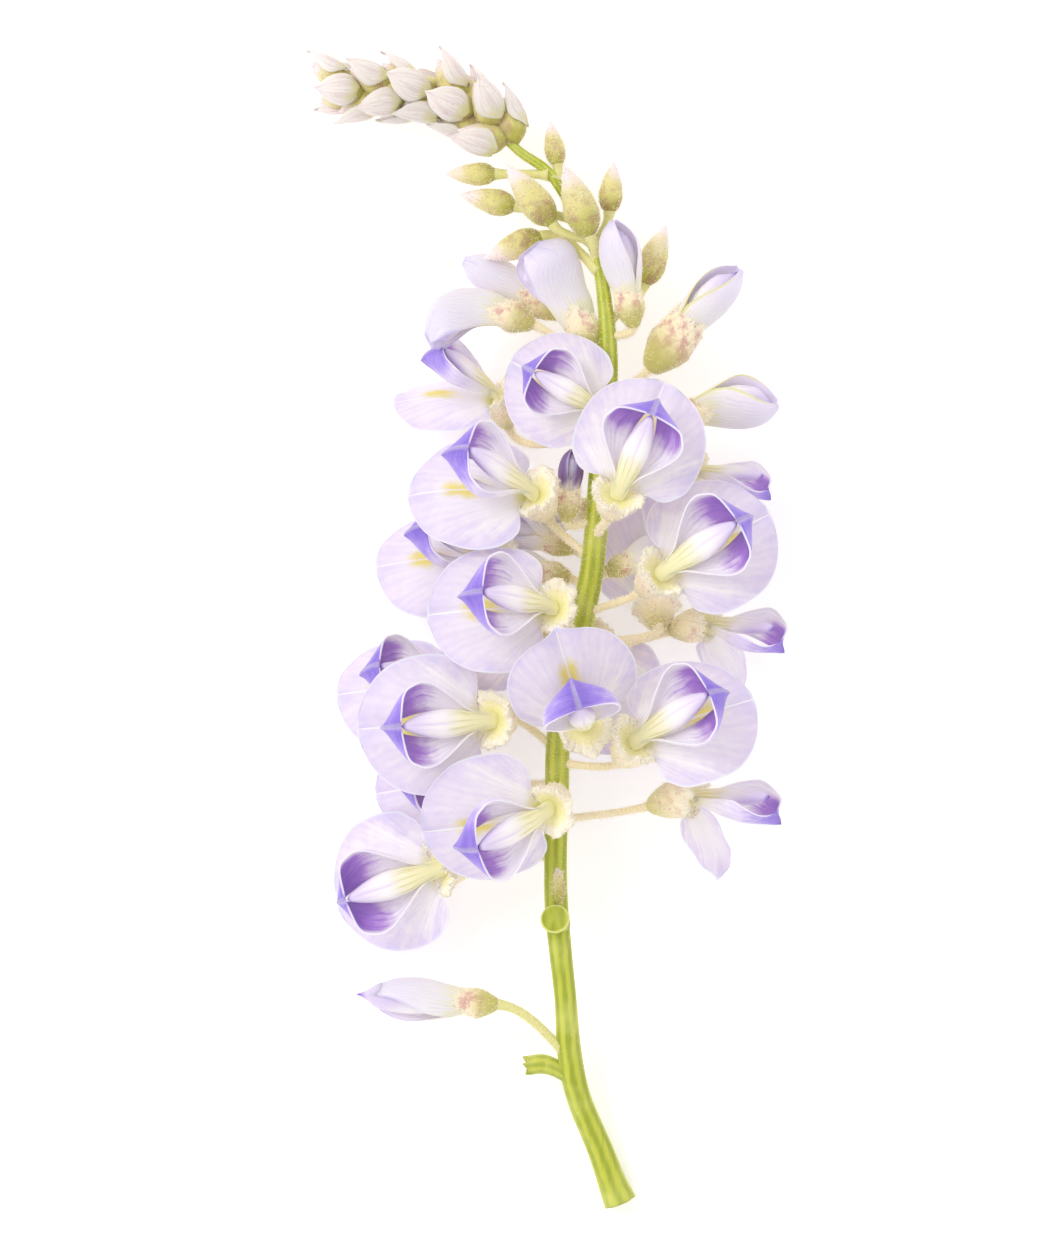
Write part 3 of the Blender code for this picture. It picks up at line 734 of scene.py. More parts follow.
def calyxBody(local, steep, size, ripe, seed, longer):
    # a bell: its wall rises from the base to a ragged rim, whose height goes by the turn, then
    # goes down inside to a rounded floor; a ripe one closes round its petals
    turn = turnsRound(calyx["sides"])
    angle = np.abs(np.degrees((turn + math.pi) % (2 * math.pi) - math.pi))
    peak = np.interp(angle, calyx["turns"], calyx["teeth"])
    ragged = sum(0.26 * np.sin(many * turn + shift * seed) for many, shift in ((9, 1), (19, 3), (33, 5)))
    peak = peak + ragged + longer
    up = np.array([0.2, 0.4, 0.6, 0.8, 0.93, 1.0])[:, None]
    down = np.array([1.0, 0.9, 0.7, 0.5, 0.3, 0.12, 0.0])[:, None]
    low = calyx["lowKeys"][-1]
    lowA = np.array(calyx["lowKeys"])[:, None] + 0 * turn
    lowR = np.array(calyx["lowRadius"])[:, None] * (1 + 0.03 * np.sin(5 * turn + seed))
    outA = low + up * (peak - low)
    hug = float(np.clip((ripe - 0.15) / 0.85, 0, 1))
    wide = calyx["lowRadius"][-1]
    rimR = wide + (calyx["rimRadius"] - wide) * (1 - calyx["hug"] * hug)
    outR = wide + up**0.8 * (rimR - wide)
    flare = 0.5 + 0.16 * np.sin(7 * turn + 2 * seed) + 0.12 * np.clip(peak, 0, 2) - 0.6 * ragged
    flare = flare * (1 - 0.9 * hug)
    outR = outR + up**5 * flare
    inA = calyx["floor"] + down * (peak - 0.04 - calyx["floor"])
    inR = calyx["floorRadius"] + down**0.6 * (rimR - 0.24 - calyx["floorRadius"])
    inR = inR + down**5 * flare
    endA = np.full((1, len(turn)), calyx["floor"] - 0.15)
    a = np.concatenate([lowA[:1] - 0.02, lowA, outA, inA, endA, endA - 0.05])
    r = np.concatenate([lowR[:1] * 0.05, lowR, outR, inR, endA * 0 + 1.0, endA * 0 + 0.05])
    body = fromAxes(a, r * np.sin(turn), r * np.cos(turn), steep)
    face = np.concatenate([np.zeros(13), [0.3], np.linspace(0.6, 1.0, 8)])
    made = closedBody(placed(body * size, local), face)
    made["values"]["rim"] = np.full(len(made["co"]), ripe)
    made["rimWeight"] = np.concatenate([np.repeat(bell(np.arange(22) - 12.0, 1.6), len(turn)), [0, 0]])
    return made


def calyxMaterial():
    # cream, olive towards the base, faint purple flecks, yellow-green inside
    # 0.06 is a faint painted glow
    shader = newMaterial("calyx", 0.6, 0.3, 0.3, 0.06, calyx["glow"])
    along, face = petalParts(shader, "along", "face")
    fleck = useGroup(shader, flecks, Amount=0.6, Scale=2400.0)
    blotch = between(noise(objectPlace(shader), 520.0, 5.0), 0.45, 0.62)
    stained = layered(
        calyx["tan"],
        (blotch, calyx["rust"]),
        (between(along, 0.42, 0.16), calyx["olive"]),
    )
    colour = layered(
        calyx["cream"],
        (between(along, 0.52, 0.3), calyx["tan"]),
        (times(attribute(shader, "rim"), between(along, 0.62, 0.4)), stained),
        (between(along, 0.3, 0.05), calyx["olive"]),
        (times(fleck["Mask"], 0.5), calyx["purple"]),
        (between(face, 0.66, 0.8), calyx["inside"]),
        (between(face, 0.84, 1.0), calyx["depth"]),
    )
    finish(shader, colour, fleck["Height"], 0.6, 0.0002)


def pedicelBody(base, direction, height, thick, green):
    # a cubic bend from the stalk to the base of the calyx
    start = stalkAt(height)
    reach = np.linalg.norm(base - start)
    out = unit(base - start)
    hold = [start, start + out * reach * 0.35, base - direction * reach * 0.35, base + direction * 0.8]
    u = np.linspace(0, 1, pedicel["rings"])[:, None]
    w = ((1 - u) ** 3, 3 * u * (1 - u) ** 2, 3 * u * u * (1 - u), u**3)
    path = sum(point * share for point, share in zip(hold, w))
    u = u[:, 0]
    radii = thick + 0.4 * bell(u, 0.14) + 0.22 * bell(1 - u, 0.1)
    made = closedBody(ringsAlong(path, radii, pedicel["sides"]))
    made["values"]["rim"] = np.full(len(made["co"]), green)
    return made


def pedicelMaterial():
    # sandy cream, greener where the attribute says so
    # 0.06 is a faint painted glow
    shader = newMaterial("pedicel", 0.6, 0.3, 0.2, 0.06, calyx["glow"])
    fleck = useGroup(shader, flecks, Amount=0.4, Scale=2000.0)
    colour = layered(
        pedicel["pale"],
        (noise(objectPlace(shader), 300.0), pedicel["sandy"]),
        (attribute(shader, "rim"), pedicel["green"]),
        (times(fleck["Mask"], 0.4), calyx["purple"]),
    )
    finish(shader, colour, fleck["Height"], 0.5, 0.00015)


def hairMaterial():
    # painted glow: the hairs are lit by their own emission
    shader = newMaterial("plantHair", 0.6, glow=hair["glow"], glowColour=calyx["glow"])
    colour = mixed(noise(objectPlace(shader), 500.0), hair["light"], hair["sandy"])
    put(shader.inputs["Base Color"], colour)


def axisOf(local, steep):
    return unit(fromAxes(1.0, 0.0, 0.0, steep) @ local[1])


calyces, pedicels, calyxHairs, hairs = [], [], [], []


def addCalyx(local, steep, size, height, ripe, seed, green=0.0, longer=0.0):
    body = calyxBody(local, steep, size, ripe, seed, longer)
    calyces.append(body)
    calyxHairs.append(hairsOn(body, *calyx["hairs"], 0.25 + 3.0 * body["rimWeight"]))
    axis = axisOf(local, steep)
    base = local[0] - axis * calyx["length"] * size
    stem = pedicelBody(base, axis, height, pedicel["thick"] + 0.15 * green, green)
    pedicels.append(stem)
    hairs.append(hairsOn(stem, *pedicel["hairs"]))


# The stalk

stalk = {
    # centre from the cut end to the tip: x, y, z, radius
    "path": (
        (10.8, -85.4, 2.5, 2.45), (9.6, -82.5, 3.0, 2.1), (7.7, -77.3, 4.1, 1.95),
        (4.5, -69.5, 6.2, 1.8), (3.1, -62.7, 8.2, 1.8), (2.5, -54.5, 10.2, 1.65),
        (1.7, -47.0, 11.8, 1.65), (1.1, -40.2, 13.0, 1.75), (1.0, -32.0, 14.2, 1.7),
        (1.2, -23.0, 15.2, 1.75), (1.4, -15.5, 15.8, 1.8), (2.6, -8.0, 16.2, 1.85),
        (4.5, 0.8, 16.4, 1.85), (6.3, 9.3, 16.4, 1.8), (7.2, 17.6, 16.4, 1.7),
        (7.7, 25.0, 16.4, 1.65), (8.6, 34.0, 16.2, 1.5), (8.9, 42.2, 15.8, 1.35),
        (8.3, 50.6, 15.2, 1.1), (7.0, 58.0, 14.6, 0.95), (4.0, 63.4, 14.0, 0.85),
        (1.6, 67.6, 13.5, 0.8), (-0.6, 70.3, 13.2, 0.75), (-4.5, 73.0, 12.8, 0.7),
        (-8.8, 77.0, 12.3, 0.65), (-13.5, 80.0, 11.6, 0.6), (-18.5, 81.2, 10.9, 0.6),
        (-23.4, 81.8, 10.2, 0.55), (-28.3, 82.2, 9.5, 0.5), (-32.0, 82.8, 9.0, 0.4),
    ),
    "stepsPerPoint": 7,
    "sides": 40,
    "ridge": 0.035,
    "ridges": 7,
    "hairs": (4200, 0.3, 0.035, 0.4),
    "green": (198, 203, 74),
    "shade": (158, 170, 54),
    "pale": (222, 224, 132),
}

leafStub = {
    "height": -43.2,
    "lean": (-0.5, 1.0, 3.9),
    "along": (0, 0.3, 0.55, 0.8, 0.93, 1.0, 1.0, 0.95, 0.93),
    "radius": (1.9, 1.8, 1.7, 1.9, 2.25, 2.15, 1.9, 1.6, 0.1),
    "cut": (0, 0, 0, 0.2, 1, 1, 0.5, 0.2, 0.2),
    "sides": 32,
}

bractStub = {
    "height": -66.8,
    # from the stalk outwards: x, y, z, radius
    "path": ((0, 0, 0, 1.2), (-2.6, 1.6, 0.2, 1.3), (-4.8, 2.4, 0.6, 1.5), (-7.2, 2.2, 0.6, 1.45)),
    "rings": 24,
    "sides": 28,
    "tornRings": 5,
}


def smoothPath(points, count):
    # so many places along smooth curves through the points, each with its radius
    keys = np.arange(len(points))
    at = np.linspace(0, keys[-1], count)
    return np.stack([smooth(keys, row, at) for row in np.array(points).T], axis=-1)


def stalkAt(height):
    path = np.array(stalk["path"])
    return np.array([np.interp(height, path[:, 1], path[:, k]) for k in range(3)])


def stalkRun():
    # how far along the stalk each point of its path lies
    steps = np.diff(np.array(stalk["path"])[:, :3], axis=0)
    return np.concatenate([[0], np.cumsum(np.linalg.norm(steps, axis=1))])


def stalkAlong(distance):
    # the place so far along the stalk, and the direction there over the last few millimetres
    columns = np.array(stalk["path"]).T[:3]
    here, back = (
        np.array([np.interp(at, stalkRun(), column) for column in columns])
        for at in (distance, distance - 4.0)
    )
    return here, unit(here - back)


def stalkMaterial():
    # yellow-green with painted shade darkening the grooves along it, paler on cut faces
    shader = newMaterial("stalk", 0.42, subsurface=0.2)
    across, face = petalParts(shader, "across", "face")
    place = objectPlace(shader)
    squeezed = newNode("ShaderNodeMapping", place)
    setInputs(squeezed, {"Vector": place, "Scale": (1.0, 0.1, 1.0)})
    fibre = noise(squeezed.outputs[0], 1300.0, 3.0)
    # painted shade: darker where the surface dips between its ridges
    groove = times(maths("SINE", times(across, stalk["ridges"] * 3.1416)), between(face, 0.1, 0.0))
    tone = scaled(groove, 0.3, scaled(fibre, 1.2, -0.1))
    colour = layered(
        stalk["shade"],
        (between(tone, 0.1, 0.9), stalk["green"]),
        (times(between(noise(place, 160.0), 0.45, 0.75), 0.4), stalk["pale"]),
        (between(face, 0.5, 0.9), stalk["pale"]),
    )
    finish(shader, colour, fibre, 0.35, 0.00015)


def leafStubBody():
    # rings square to its lean, widening to a lip, then in over the cut face
    lean = np.array(leafStub["lean"])
    side = unit(np.cross(lean, (0, 0, 1)))
    turn = turnsRound(leafStub["sides"])[:, None]
    ring = side * np.cos(turn) + np.cross(side, unit(lean)) * np.sin(turn)
    along, wide = (np.array(leafStub[key])[:, None, None] for key in ("along", "radius"))
    stub = stalkAt(leafStub["height"]) + along * lean + ring[None] * wide * 0.98
    return closedBody(stub, np.array(leafStub["cut"]))


def bractStubBody():
    # a short branch whose last rings end raggedly
    fine = smoothPath(bractStub["path"], bractStub["rings"])
    path = stalkAt(bractStub["height"]) + fine[:, :3]
    rings = ringsAlong(path, fine[:, 3], bractStub["sides"])
    turn = turnsRound(bractStub["sides"])
    torn = 0.45 * np.sin(3 * turn) + 0.3 * np.sin(7 * turn + 1) + 0.15 * np.sin(13 * turn)
    many = bractStub["tornRings"]
    rings[-many:, :, 0] += np.linspace(0, 1, many)[:, None] * torn
    return closedBody(rings)


def addStalk():
    # slightly uneven in thickness, and hairy only in its upper half
    spans = len(stalk["path"]) - 1
    fine = smoothPath(stalk["path"], spans * stalk["stepsPerPoint"] + 1)
    radii = fine[:, 3] * (1 + 0.02 * np.sin(np.linspace(0, spans, len(fine)) * 2.3))
    body = closedBody(ringsAlong(fine[:, :3], radii, stalk["sides"], stalk["ridge"], stalk["ridges"]))
    makeGreen("greenStalk", [body, leafStubBody(), bractStubBody()], "stalk")
    hairs.append(hairsOn(body, *stalk["hairs"], stepUp(body["co"][:, 1], -40.0, -20.0) + 0.04))


# Closed buds and the head

closedBuds = (
    # base, heading, pitch, height on the stalk, length, width
    ((14.1, 52.4, 12.5), 70, 0, 47.0, 9.8, 4.2),
    ((-0.5, 60.4, 13.0), 201, 0, 55.0, 9.5, 4.2),
    ((9.0, 63.2, 13.5), 85, 0, 58.5, 8.0, 3.4),
    ((6.4, 59.5, 17.0), 110, 6, 57.0, 11.5, 5.0),
    ((0.9, 61.4, 16.0), 128, 4, 59.5, 11.5, 4.6),
    ((-4.5, 64.6, 12.5), 168, 0, 62.5, 8.8, 3.8),
    ((-7.4, 69.6, 11.5), 180, 0, 69.5, 8.0, 3.3),
    ((1.4, 70.3, 12.5), 100, 0, 68.5, 7.2, 2.9),
)

sideBud = {
    "height": -41.0,
    "shift": (0.3, 0.6, 1.9),
    "length": 7.5,
    "width": 1.9,
    "hairs": (260, 0.36, 0.045),
}

head = {
    "buds": 22,
    "start": 167.0,
    "end": 2.0,  # mm short of the stalk's tip
    "turn": 137.5,
    "length": 8.6,
    "width": 4.7,
    "lean": 33.0,
    "taper": 0.15,
    "wrap": 80,
    "hairs": (110, 0.28, 0.035),
    "scaleHairs": (90, 0.28, 0.035),
}

bud = {
    "keys": (0, 0.12, 0.35, 0.6, 0.85, 1),
    "half": (0, 0.62, 1, 0.88, 0.4, 0),
    "pink": (243, 227, 228),
    "cream": (222, 213, 142),
    "olive": (182, 180, 76),
    "purple": (164, 112, 108),
    "scale": (247, 235, 232),
    "stain": (229, 208, 208),
    "scaleEdge": (250, 242, 240),
    "hairs": (460, 0.34, 0.045),
    "pedicelThick": 0.7,
    "pedicelHairs": (160, 0.3, 0.04),
}


def budBody(local, length, width, rings=18, sides=18):
    # an egg drawn out to a blunt point, its calyx ending in a low step
    t = np.linspace(0, 1, rings)[:, None]
    turn = turnsRound(sides)[None]
    half = np.maximum(curve(bud, "half", t), 0.02)
    edge = 0.44 + 0.05 * np.sin(5 * turn)
    r = half * (1 + 0.07 * stepUp(edge - t, -0.01, 0.05)) * width / 2
    body = np.stack(np.broadcast_arrays(length * t, r * np.sin(turn), r * np.cos(turn)), axis=-1)
    return closedBody(placed(body, local))


def scaleSheet(local, length, width, wrap, seed):
    # a thin bract laid round the outside of a bud, its tip a little past the bud's and curled out
    t = np.linspace(0, 1, 20)[:, None]
    x = np.linspace(-1, 1, 15)[None]
    t, x = np.broadcast_arrays(t, x)
    near = 0.24
    half = np.maximum(curve(bud, "half", near + (0.95 - near) * t), 0.1) * width / 2 + 0.13
    share = smooth((0, 0.2, 0.5, 0.8, 1), (0.3, 0.85, 1, 0.75, 0.1), t)
    turn = x * math.radians(wrap) * share
    lift = 0.8 * t**2 + 0.14 * np.sin(6 * x + seed) * t
    reach = length * (near + (1.04 - near) * t) + 0.2 * np.sin(3 * x + seed)
    middle = np.stack([reach, (half + lift * 0.4) * np.sin(turn), half * np.cos(turn) + lift], axis=-1)
    rim = bell((1 - np.abs(x)) * 2.2, 0.6)
    return closedSheet(placed(middle, local), 0.14, x, t, rim, 0.5, flip=True)


def budMaterial():
    # pinkish white at the tip, cream and olive with purple flecks at the base
    shader = newMaterial("closedBud", 0.55, sheen=0.3, subsurface=0.3)
    [along] = petalParts(shader, "along")
    fleck = useGroup(shader, flecks, Amount=0.6, Scale=2600.0)
    place = objectPlace(shader)
    level = plus(along, scaled(noise(place, 330.0), 0.5, -0.25))
    blotch = between(noise(place, 520.0, 4.0), 0.45, 0.65)
    colour = layered(
        bud["olive"],
        (between(level, 0.1, 0.5), bud["cream"]),
        (times(blotch, between(level, 0.7, 0.3), 0.5), bud["purple"]),
        (between(level, 0.5, 0.95), bud["pink"]),
        (times(fleck["Mask"], 0.35), bud["purple"]),
    )
    finish(shader, colour, fleck["Height"], 0.4, 0.0002)


def scaleMaterial():
    # pale pink and papery, veined along, olive where it grows out
    # a faint painted glow lightens the scale
    shader = newMaterial("budScale", 0.55, sheen=0.25, subsurface=0.5, glow=0.02)
    [along] = petalParts(shader, "along")
    vein = useGroup(shader, veins, Count=9.0, Bend=0.3)
    fleck = useGroup(shader, flecks, Amount=0.45, Scale=2300.0)
    level = scaled(vein["Mottle"], 0.5, maths("SUBTRACT", along, 0.25))
    colour = layered(
        bud["scale"],
        (between(vein["Streak"], 0.4, 0.62), bud["stain"]),
        (times(fleck["Mask"], 0.25), bud["purple"]),
        (between(level, 0.34, 0.04), bud["cream"]),
        (times(attribute(shader, "rim"), 0.8), bud["scaleEdge"]),
    )
    finish(shader, colour, vein["Height"], 0.3, 0.0001)


def headFrame(share, turn):
    # a bud leaning out of the stalk's upper end, its share of the way along and turned about it
    span = stalkRun()[-1] - head["end"] - head["start"]
    place, forwards = stalkAlong(head["start"] + span * share)
    side = unit(np.cross(forwards, (0, 0, 1)))
    out = side * math.cos(turn) + np.cross(side, forwards) * math.sin(turn)
    lean = math.radians(head["lean"]) * (1 - 0.25 * share)
    aim = forwards * math.cos(lean) + out * math.sin(lean)
    n = unit(out - aim * (out @ aim))
    size = 1 - head["taper"] * share
    return (place + out * 0.45 * size, np.array([aim, np.cross(n, aim), n])), size


def addBuds():
    bodies, scales = [], []
    for base, heading, pitch, height, length, width in closedBuds:
        local = frameOf(base, heading, pitch, 0)
        bodies.append(budBody(local, length * 1.05, width, 26, 26))
        pedicels.append(pedicelBody(np.array(base), axisOf(local, 0), height, bud["pedicelThick"], 0.8))
        hairs.append(hairsOn(bodies[-1], *bud["hairs"]))
        hairs.append(hairsOn(pedicels[-1], *bud["pedicelHairs"]))
    for i in range(head["buds"]):
        local, size = headFrame(i / (head["buds"] - 1), math.radians(head["turn"]) * i)
        length, width = head["length"] * size, head["width"] * size
        bodies.append(budBody(local, length * 0.97, width * 0.96))
        scales.append(scaleSheet(local, length * 1.08, width * 1.14, head["wrap"], i))
        hairs.append(hairsOn(bodies[-1], *head["hairs"]))
        hairs.append(hairsOn(scales[-1], *head["scaleHairs"]))
    local = frameOf(stalkAt(sideBud["height"]) + np.array(sideBud["shift"]), 92, 2, 0)
    bodies.append(budBody(local, sideBud["length"], sideBud["width"]))
    hairs.append(hairsOn(bodies[-1], *sideBud["hairs"]))
    makeGreen("closedBuds", bodies, "closedBud")
    makeGreen("budScales", scales, "budScale")


# Half-open flowers

opening = {
    # calyx mouth, heading, pitch, roll, pedicel height, length, width, depth, bend, calyx size
    "01": ((23.7, 34.2, 12.0), 16, 0, 60, 27.5, 12.6, 5.0, 8.0, -14, 0.9),
    "02": ((4.0, 48.9, 15.0), 112, 8, 75, 42.0, 13.6, 5.0, 9.6, 16, 1.0),
    "03": ((-8.0, 49.2, 13.4), 158, 0, 80, 38.0, 13.0, 4.6, 7.4, 48, 0.9),
    "04": ((-3.3, 51.6, 9.6), 152, 3, 10, 44.0, 12.6, 5.8, 5.4, 0, 0.95),
    "05": ((20.8, 47.0, 13.5), 50, 3, 30, 36.0, 14.0, 5.6, 7.0, -8, 1.3),
    "06": ((11.6, 52.1, 17.0), 101, 6, 0, 45.0, 12.2, 6.0, 5.6, 6, 0.85),
    "07": ((3.0, 21.8, 17.5), 85, 0, 0, 17.5, 7.6, 3.6, 4.0, 0, 0.68),
    "08": ((-13.5, -54.8, 11.5), 176, 0, -70, -63.0, 15.0, 4.4, 6.4, 0, 0.85),
    "21": ((-0.9, 15.0, 8.2), 158, 0, 0, 10.5, 8.0, 5.6, 5.0, 0, 0.74),
    "22": ((3.4, 19.0, 7.4), 187, 0, 0, 16.0, 9.0, 6.6, 5.0, 0, 0.66),
    "23": ((-1.4, 10.0, 10.0), 166, 0, 0, 5.0, 7.0, 5.0, 4.4, 0, 0.7),
    "24": ((12.6, 11.4, 12.0), 22, -6, 0, 5.5, 8.0, 5.6, 4.4, 0, 0.66),
}

pod = {
    "keys": (0, 0.15, 0.35, 0.6, 0.85, 1),
    "half": (0.5, 0.7, 0.92, 1.0, 0.72, 0.28),
    "hood": (0, -0.1, -0.25, -0.05, 0.3, 0.3),
    "hooded": {"02": 1.0, "03": 0.6},
    "seat": -1.9,
    # where the lips meet, in degrees round the pod from the back, and how far they open
    "lips": {"01": (345, 0.3), "02": (0, 0.3), "03": (350, 0.3), "04": (200, 0.1),
             "05": (5, 0.25), "06": (325, 0.14), "07": (0, 0.1), "08": (130, 0.3),
             "21": (0, 0.2), "22": (20, 0.2), "23": (0, 0.2), "24": (340, 0.2)},
    "behind": ("21", "22", "23", "24"),
    "lipTint": {"01": -1.0, "05": -1.0, "06": 0.2},
    "rows": 38,
    "columns": 45,
    "coreShare": 0.78,
    "pink": (249, 241, 246),
    "lilac": (237, 227, 246),
    "blue": (188, 178, 232),
    "cream": (246, 240, 206),
    "fold": (222, 218, 142),
    "wilted": (124, 98, 146),
    "hollow": (238, 232, 246),
}


def podPoints(t, turn, seat, length, width, depth, bend, reach, hood):
    # a long oval: width and depth by a curve of t, fuller near the tip in a hood, bent towards N
    half = (curve(pod, "half", t) + hood * curve(pod, "hood", t)) * reach
    droop = math.radians(bend) * t
    along = seat + length * t
    out = depth / 2 * half * np.cos(turn)
    e = along * np.cos(droop) - out * np.sin(droop)
    n = along * np.sin(droop) + out * np.cos(droop)
    return np.stack(np.broadcast_arrays(e, width / 2 * half * np.sin(turn), n), axis=-1)


def foldedPetal(local, seat, length, width, depth, bend, lips, hood, wave):
    # a banner still wrapped round the rest: from one lip round the back to the other, the lips
    # rolled out a little and one lying over the other
    t, x = sheetGrid(pod["rows"], pod["columns"])
    middle, gape = math.radians(lips[0] + 180), lips[1]
    turn = middle + x * math.pi * (1.0 - gape * stepUp(t, 0.15, 0.9))
    near = np.abs(x) ** 5
    reach = 1 + near * (0.1 + 0.3 * gape * stepUp(t, 0.3, 0.8)) + 0.03 * np.sin(9 * t + wave) * near
    reach = reach + 0.05 * (x > 0) * near - 0.25 * stepUp(t, 0.9, 1.0)
    sheet = podPoints(t, turn, seat, length, width, depth, bend, reach, hood)
    rim = np.maximum(bell((1 - np.abs(x)) * depth, 0.3), bell((1 - t) * length, 0.25))
    return closedSheet(placed(sheet, local), banner["thickness"], x, t, rim, 0.6, flip=True)


def foldedCore(local, seat, length, width, depth, bend, hood, past):
    # the wings and keel inside a folded banner
    t = np.linspace(0, 1, 26)[:, None]
    turn = turnsRound(24)[None]
    reach = pod["coreShare"] * np.minimum(1, (1.02 - t) / 0.2)
    body = podPoints(t, turn, seat, length * past, width, depth, bend, reach, hood)
    return closedBody(placed(body, local))


def foldedMaterial(name, wilted):
    # cream at the base, pinkish lilac, bluer towards the tip, its lips blue, or cream-green
    # where the rim's value is negative
    # unwilted ones get a faint painted glow
    shader = newMaterial(name, 0.5, sheen=0.1, subsurface=0.45, glow=0.0 if wilted else 0.05)
    [along] = petalParts(shader, "along")
    vein = useGroup(shader, veins, Count=34.0, Bend=0.6)
    level = plus(along, scaled(vein["Mottle"], 0.3, -0.15), scaled(vein["Streak"], 0.4, -0.2))
    colour = layered(
        pod["cream"],
        (between(level, 0.12, 0.34), pod["pink"]),
        (between(level, 0.3, 0.75), pod["lilac"]),
        (times(between(level, 0.82, 1.2), 0.8), pod["blue"]),
    )
    if wilted:
        colour = mixed(between(level, 0.1, 0.5), colour, pod["wilted"])
    colour = veinShaded(colour, vein, 0.6, pod["hollow"])
    rim = attribute(shader, "rim")
    colour = layered(
        colour,
        (times(between(rim, 0.1, 0.9), between(along, 0.3, 0.8), 0.8), pod["blue"]),
        (times(between(rim, -0.1, -0.9), between(along, 1.0, 0.7)), pod["fold"]),
    )
    finish(shader, colour, vein["Height"], 0.2, 0.0001)


def addOpening(key, values):
    mouth, heading, pitch, roll, height, length, width, depth, bend, size = values
    local = frameOf(mouth, heading, pitch, roll)
    wave = 2.3 * int(key)
    seat = pod["seat"] * size
    past = 1.14 if key == "08" else 0.96
    hood = pod["hooded"].get(key, 0.0)
    petal = foldedPetal(local, seat, length, width, depth, bend, pod["lips"][key], hood, wave)
    petal["values"]["rim"] *= pod["lipTint"].get(key, 1.0)
    shapes = [petal, foldedCore(local, seat, length, width, depth, bend, hood, past)]
    looks = ["wiltedPetal" if key == "07" else "foldedPetal", "keelPetal"]
    nodes = [] if key in pod["behind"] else ["opening_" + key + "_petals"]
    makePiece("foldedPetals_" + key, shapes, looks, nodes, [0, 1])
    addCalyx(local, 0, size, height, 1.0, wave, 0.8 if key == "08" else 0.0)


# Open flowers

flowers = {
    # calyx mouth, heading, pitch, roll, pedicel height, reflex, size, banner's share of its length
    "01": ((7.6, 34.0, 21.8), 151, -14, 0, 31.0, 30, 0.88, 1),
    "02": ((10.3, 21.5, 30.0), 67, -8, 0, 15.0, 30, 1.0, 1),
    "03": ((-2.4, 21.8, 22.0), 175, -5, -34, 11.5, 46, 1.02, 1),
    "04": ((17.0, 9.7, 26.0), 30, -12, 8, 3.5, 30, 1.04, 1),
    "05": ((-8.5, 12.2, 9.5), 180, 0, -34, 6.0, 40, 0.95, 1),
    "06": ((0.4, 4.6, 27.0), 181, 0, -16, -1.0, 40, 1.0, 1),
    "07": ((5.4, -13.6, 25.0), 107, 46, 0, -17.0, 30, 1.0, 1),
    "08": ((13.0, -15.3, 25.0), 22, -8, 20, -19.0, 32, 1.03, 1),
    "09": ((-9.0, -12.4, 23.9), 184, -4, 0, -17.0, 30, 1.08, 1),
    "10": ((-0.2, -25.9, 26.0), 194, 0, 22, -29.0, 34, 1.03, 1),
    "11": ((-16.8, -34.8, 13.5), 199, -28, 0, -33.0, 28, 1.08, 1),
    "12": ((-7.6, 36.6, 9.2), 177, 0, -62, 30.0, 40, 0.85, 1),
    "13": ((23.4, 2.2, 11.5), -54, 0, 54, -3.5, 56, 0.9, 0.64),
    "14": ((21.0, -23.9, 12.0), -56, 0, 62, -27.5, 60, 1.0, 0.62),
    "15": ((21.6, 25.2, 10.4), -52, 0, 66, 16.0, 50, 0.85, 0.64),
    "16": ((-14.4, -7.3, 11.0), 180, 0, -30, -11.0, 30, 0.95, 1),
    "17": ((-10.5, -21.5, 9.0), 186, 0, -10, -22.0, 28, 0.85, 1),
    "18": ((-1.6, 0.5, 4.8), 186, 0, 180, 3.0, 24, 0.8, 1),
    "19": ((16.2, 4.6, 5.3), 98, 0, 180, -1.0, 24, 0.9, 1),
    "20": ((6.2, -0.6, 5.6), -73, 0, 180, 1.0, 24, 0.95, 1),
}


def addFlower(key, values):
    mouth, heading, pitch, roll, height, reflex, size, share = values
    local = frameOf(mouth, heading, pitch, roll)
    wave = 1.7 * int(key)
    node = "flower_" + key
    petal = bannerSheet(local, reflex, size, share, wave)
    makePiece("bannerPetal_" + key, [petal], ["bannerPetal"], [node + "_banner"])
    spread = 1 + 0.05 * math.sin(wave * 2)
    closed = 1.0 if share < 1 else 0.0
    pair = [wingSheet(local, reflex, size, side, wave + side, spread, closed) for side in (-1, 1)]
    for half in pair:
        half["values"]["petal"][:, 1] *= 1 - 0.04 * closed
    body = keelBody(local, reflex, size)
    looks = ["wingPetal", "keelPetal"]
    makePiece("wingsAndKeel_" + key, pair + [body], looks, [node + "_wings_keel"], [0, 0, 1])
    steep = min(reflex + calyx["rise"], calyx["steepest"])
    addCalyx(local, steep, size, height, 0.15 + 0.3 * closed, wave, longer=1.5 * closed)


bannerMaterial()
wingMaterial()
keelMaterial()
foldedMaterial("foldedPetal", False)
foldedMaterial("wiltedPetal", True)
calyxMaterial()
pedicelMaterial()
stalkMaterial()
budMaterial()
scaleMaterial()
hairMaterial()
print("materials made")

for key, values in flowers.items():
    addFlower(key, values)
print("open flowers made")
for key, values in opening.items():
    addOpening(key, values)
addStalk()
addBuds()
makeGreen("calyces", calyces, "calyx")
makeGreen("pedicels", pedicels, "pedicel")
makeGreen("calyxHairs", calyxHairs, "plantHair")
makeGreen("plantHairs", hairs, "plantHair")
hairFaces = sum(len(h["tris"]) for h in calyxHairs + hairs)
print("stalk, calyces, buds and hairs made:", hairFaces, "hair faces")


# Floor, light and camera

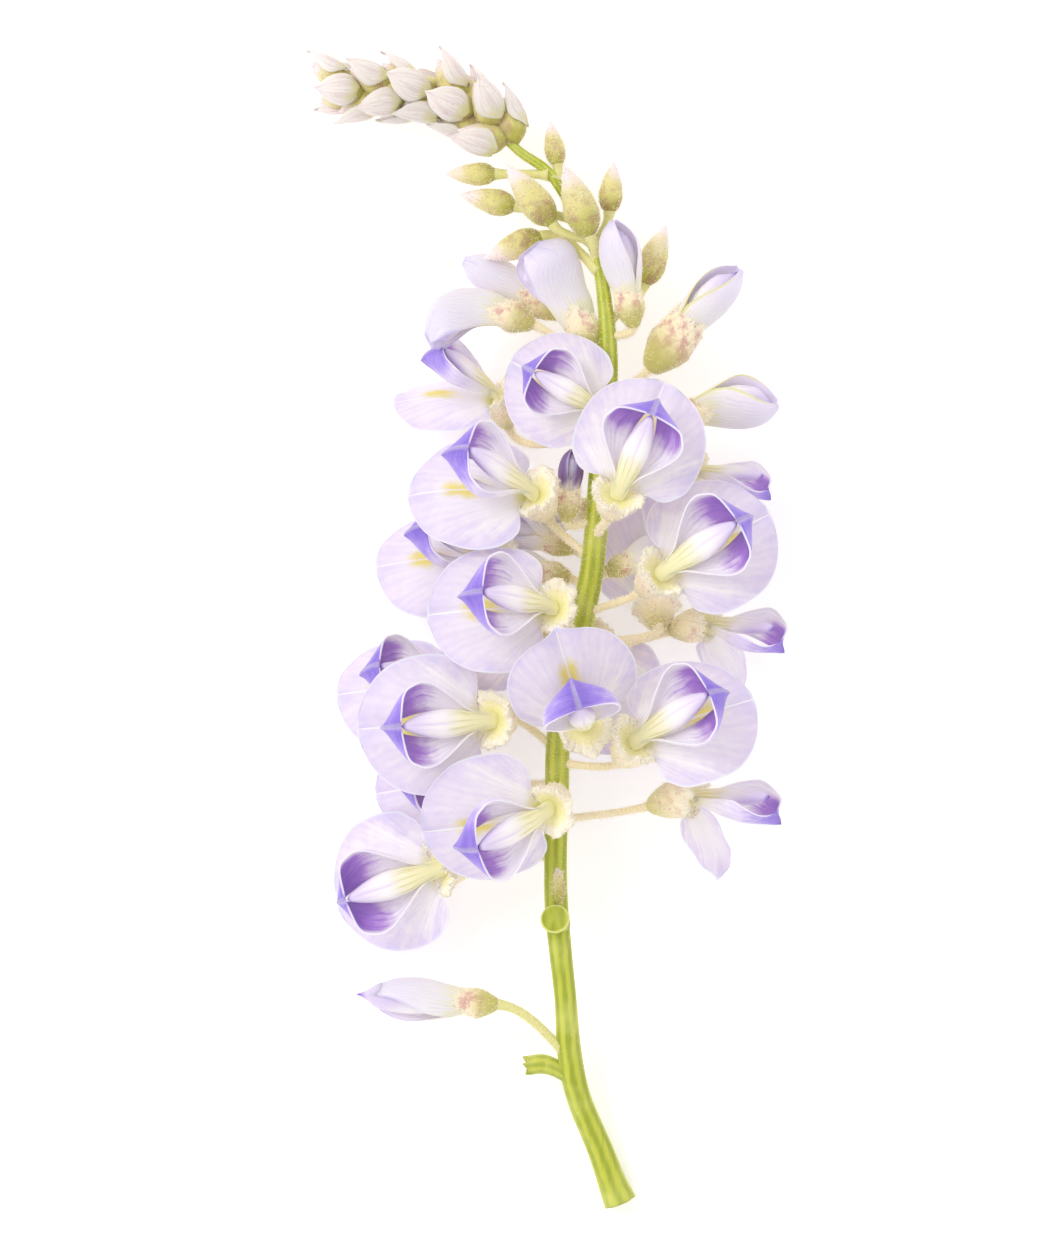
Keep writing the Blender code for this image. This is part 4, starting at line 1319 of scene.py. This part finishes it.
stage = {
    "reach": 3,
    "floor": (0.9, 0.895, 0.895, 1),
    "glow": 0.3,
    "sky": (1.0, 0.99, 0.99, 1),
    "fill": 0.91,
    "keyPower": 4.8,
    "keySize": 0.6,
    "keyPlace": (-0.62, 0.42, 0.95),
    "keyAim": (0, 0, 0.015),
    "keyColour": (1.0, 0.985, 0.965),
}
camera = {"distance": 1.5, "field": 0.189, "aim": (-2.79, 0.6, 15.0), "sensor": 36.0}


def aimAt(thing, target):
    # turned so that its -Z looks at the target, with +Y up the picture
    place = np.array(thing.location)
    z = unit(place - np.array(target, float))
    up = np.array([0, 1.0, 0]) if abs(z[2]) > 0.9 else np.array([0, 0, 1.0])
    x = unit(np.cross(up, z))
    turned = Matrix(np.stack([x, np.cross(z, x), z], axis=1).tolist()).to_4x4()
    thing.matrix_world = Matrix.Translation(place) @ turned


def addStage():
    mesh = bpy.data.meshes.new("floor")
    corners = [(x * stage["reach"], y * stage["reach"], 0) for x, y in ((-1, -1), (1, -1), (1, 1), (-1, 1))]
    mesh.from_pydata(corners, [], [(0, 1, 2, 3)])
    shader = newMaterial("paleFloor", 0.9, glow=stage["glow"])
    shader.inputs["Base Color"].default_value = stage["floor"]
    mesh.materials.append(bpy.data.materials["paleFloor"])
    floor = newObject("floor", mesh)
    world = bpy.data.worlds.new("softRoom")
    world.use_nodes = True
    sky = world.node_tree.nodes["Background"]
    sky.inputs["Color"].default_value = stage["sky"]
    sky.inputs["Strength"].default_value = stage["fill"]
    bpy.context.scene.world = world
    lamp = bpy.data.lights.new("window", "AREA")
    lamp.shape = "DISK"
    lamp.size = stage["keySize"]
    lamp.energy = stage["keyPower"]
    lamp.color = stage["keyColour"]
    window = newObject("window", lamp)
    window.location = stage["keyPlace"]
    aimAt(window, stage["keyAim"])


def addCamera():
    lens = bpy.data.cameras.new("overhead")
    lens.sensor_fit = "VERTICAL"
    lens.sensor_height = camera["sensor"]
    lens.lens = camera["sensor"] * camera["distance"] / camera["field"]
    lens.clip_end = 10.0
    overhead = newObject("overhead", lens)
    target = np.array(camera["aim"]) * mm
    overhead.location = target + np.array([0, 0, camera["distance"]])
    aimAt(overhead, target)
    bpy.context.scene.camera = overhead


addStage()
addCamera()
bpy.context.scene.view_settings.view_transform = "Standard"
print("stage made")
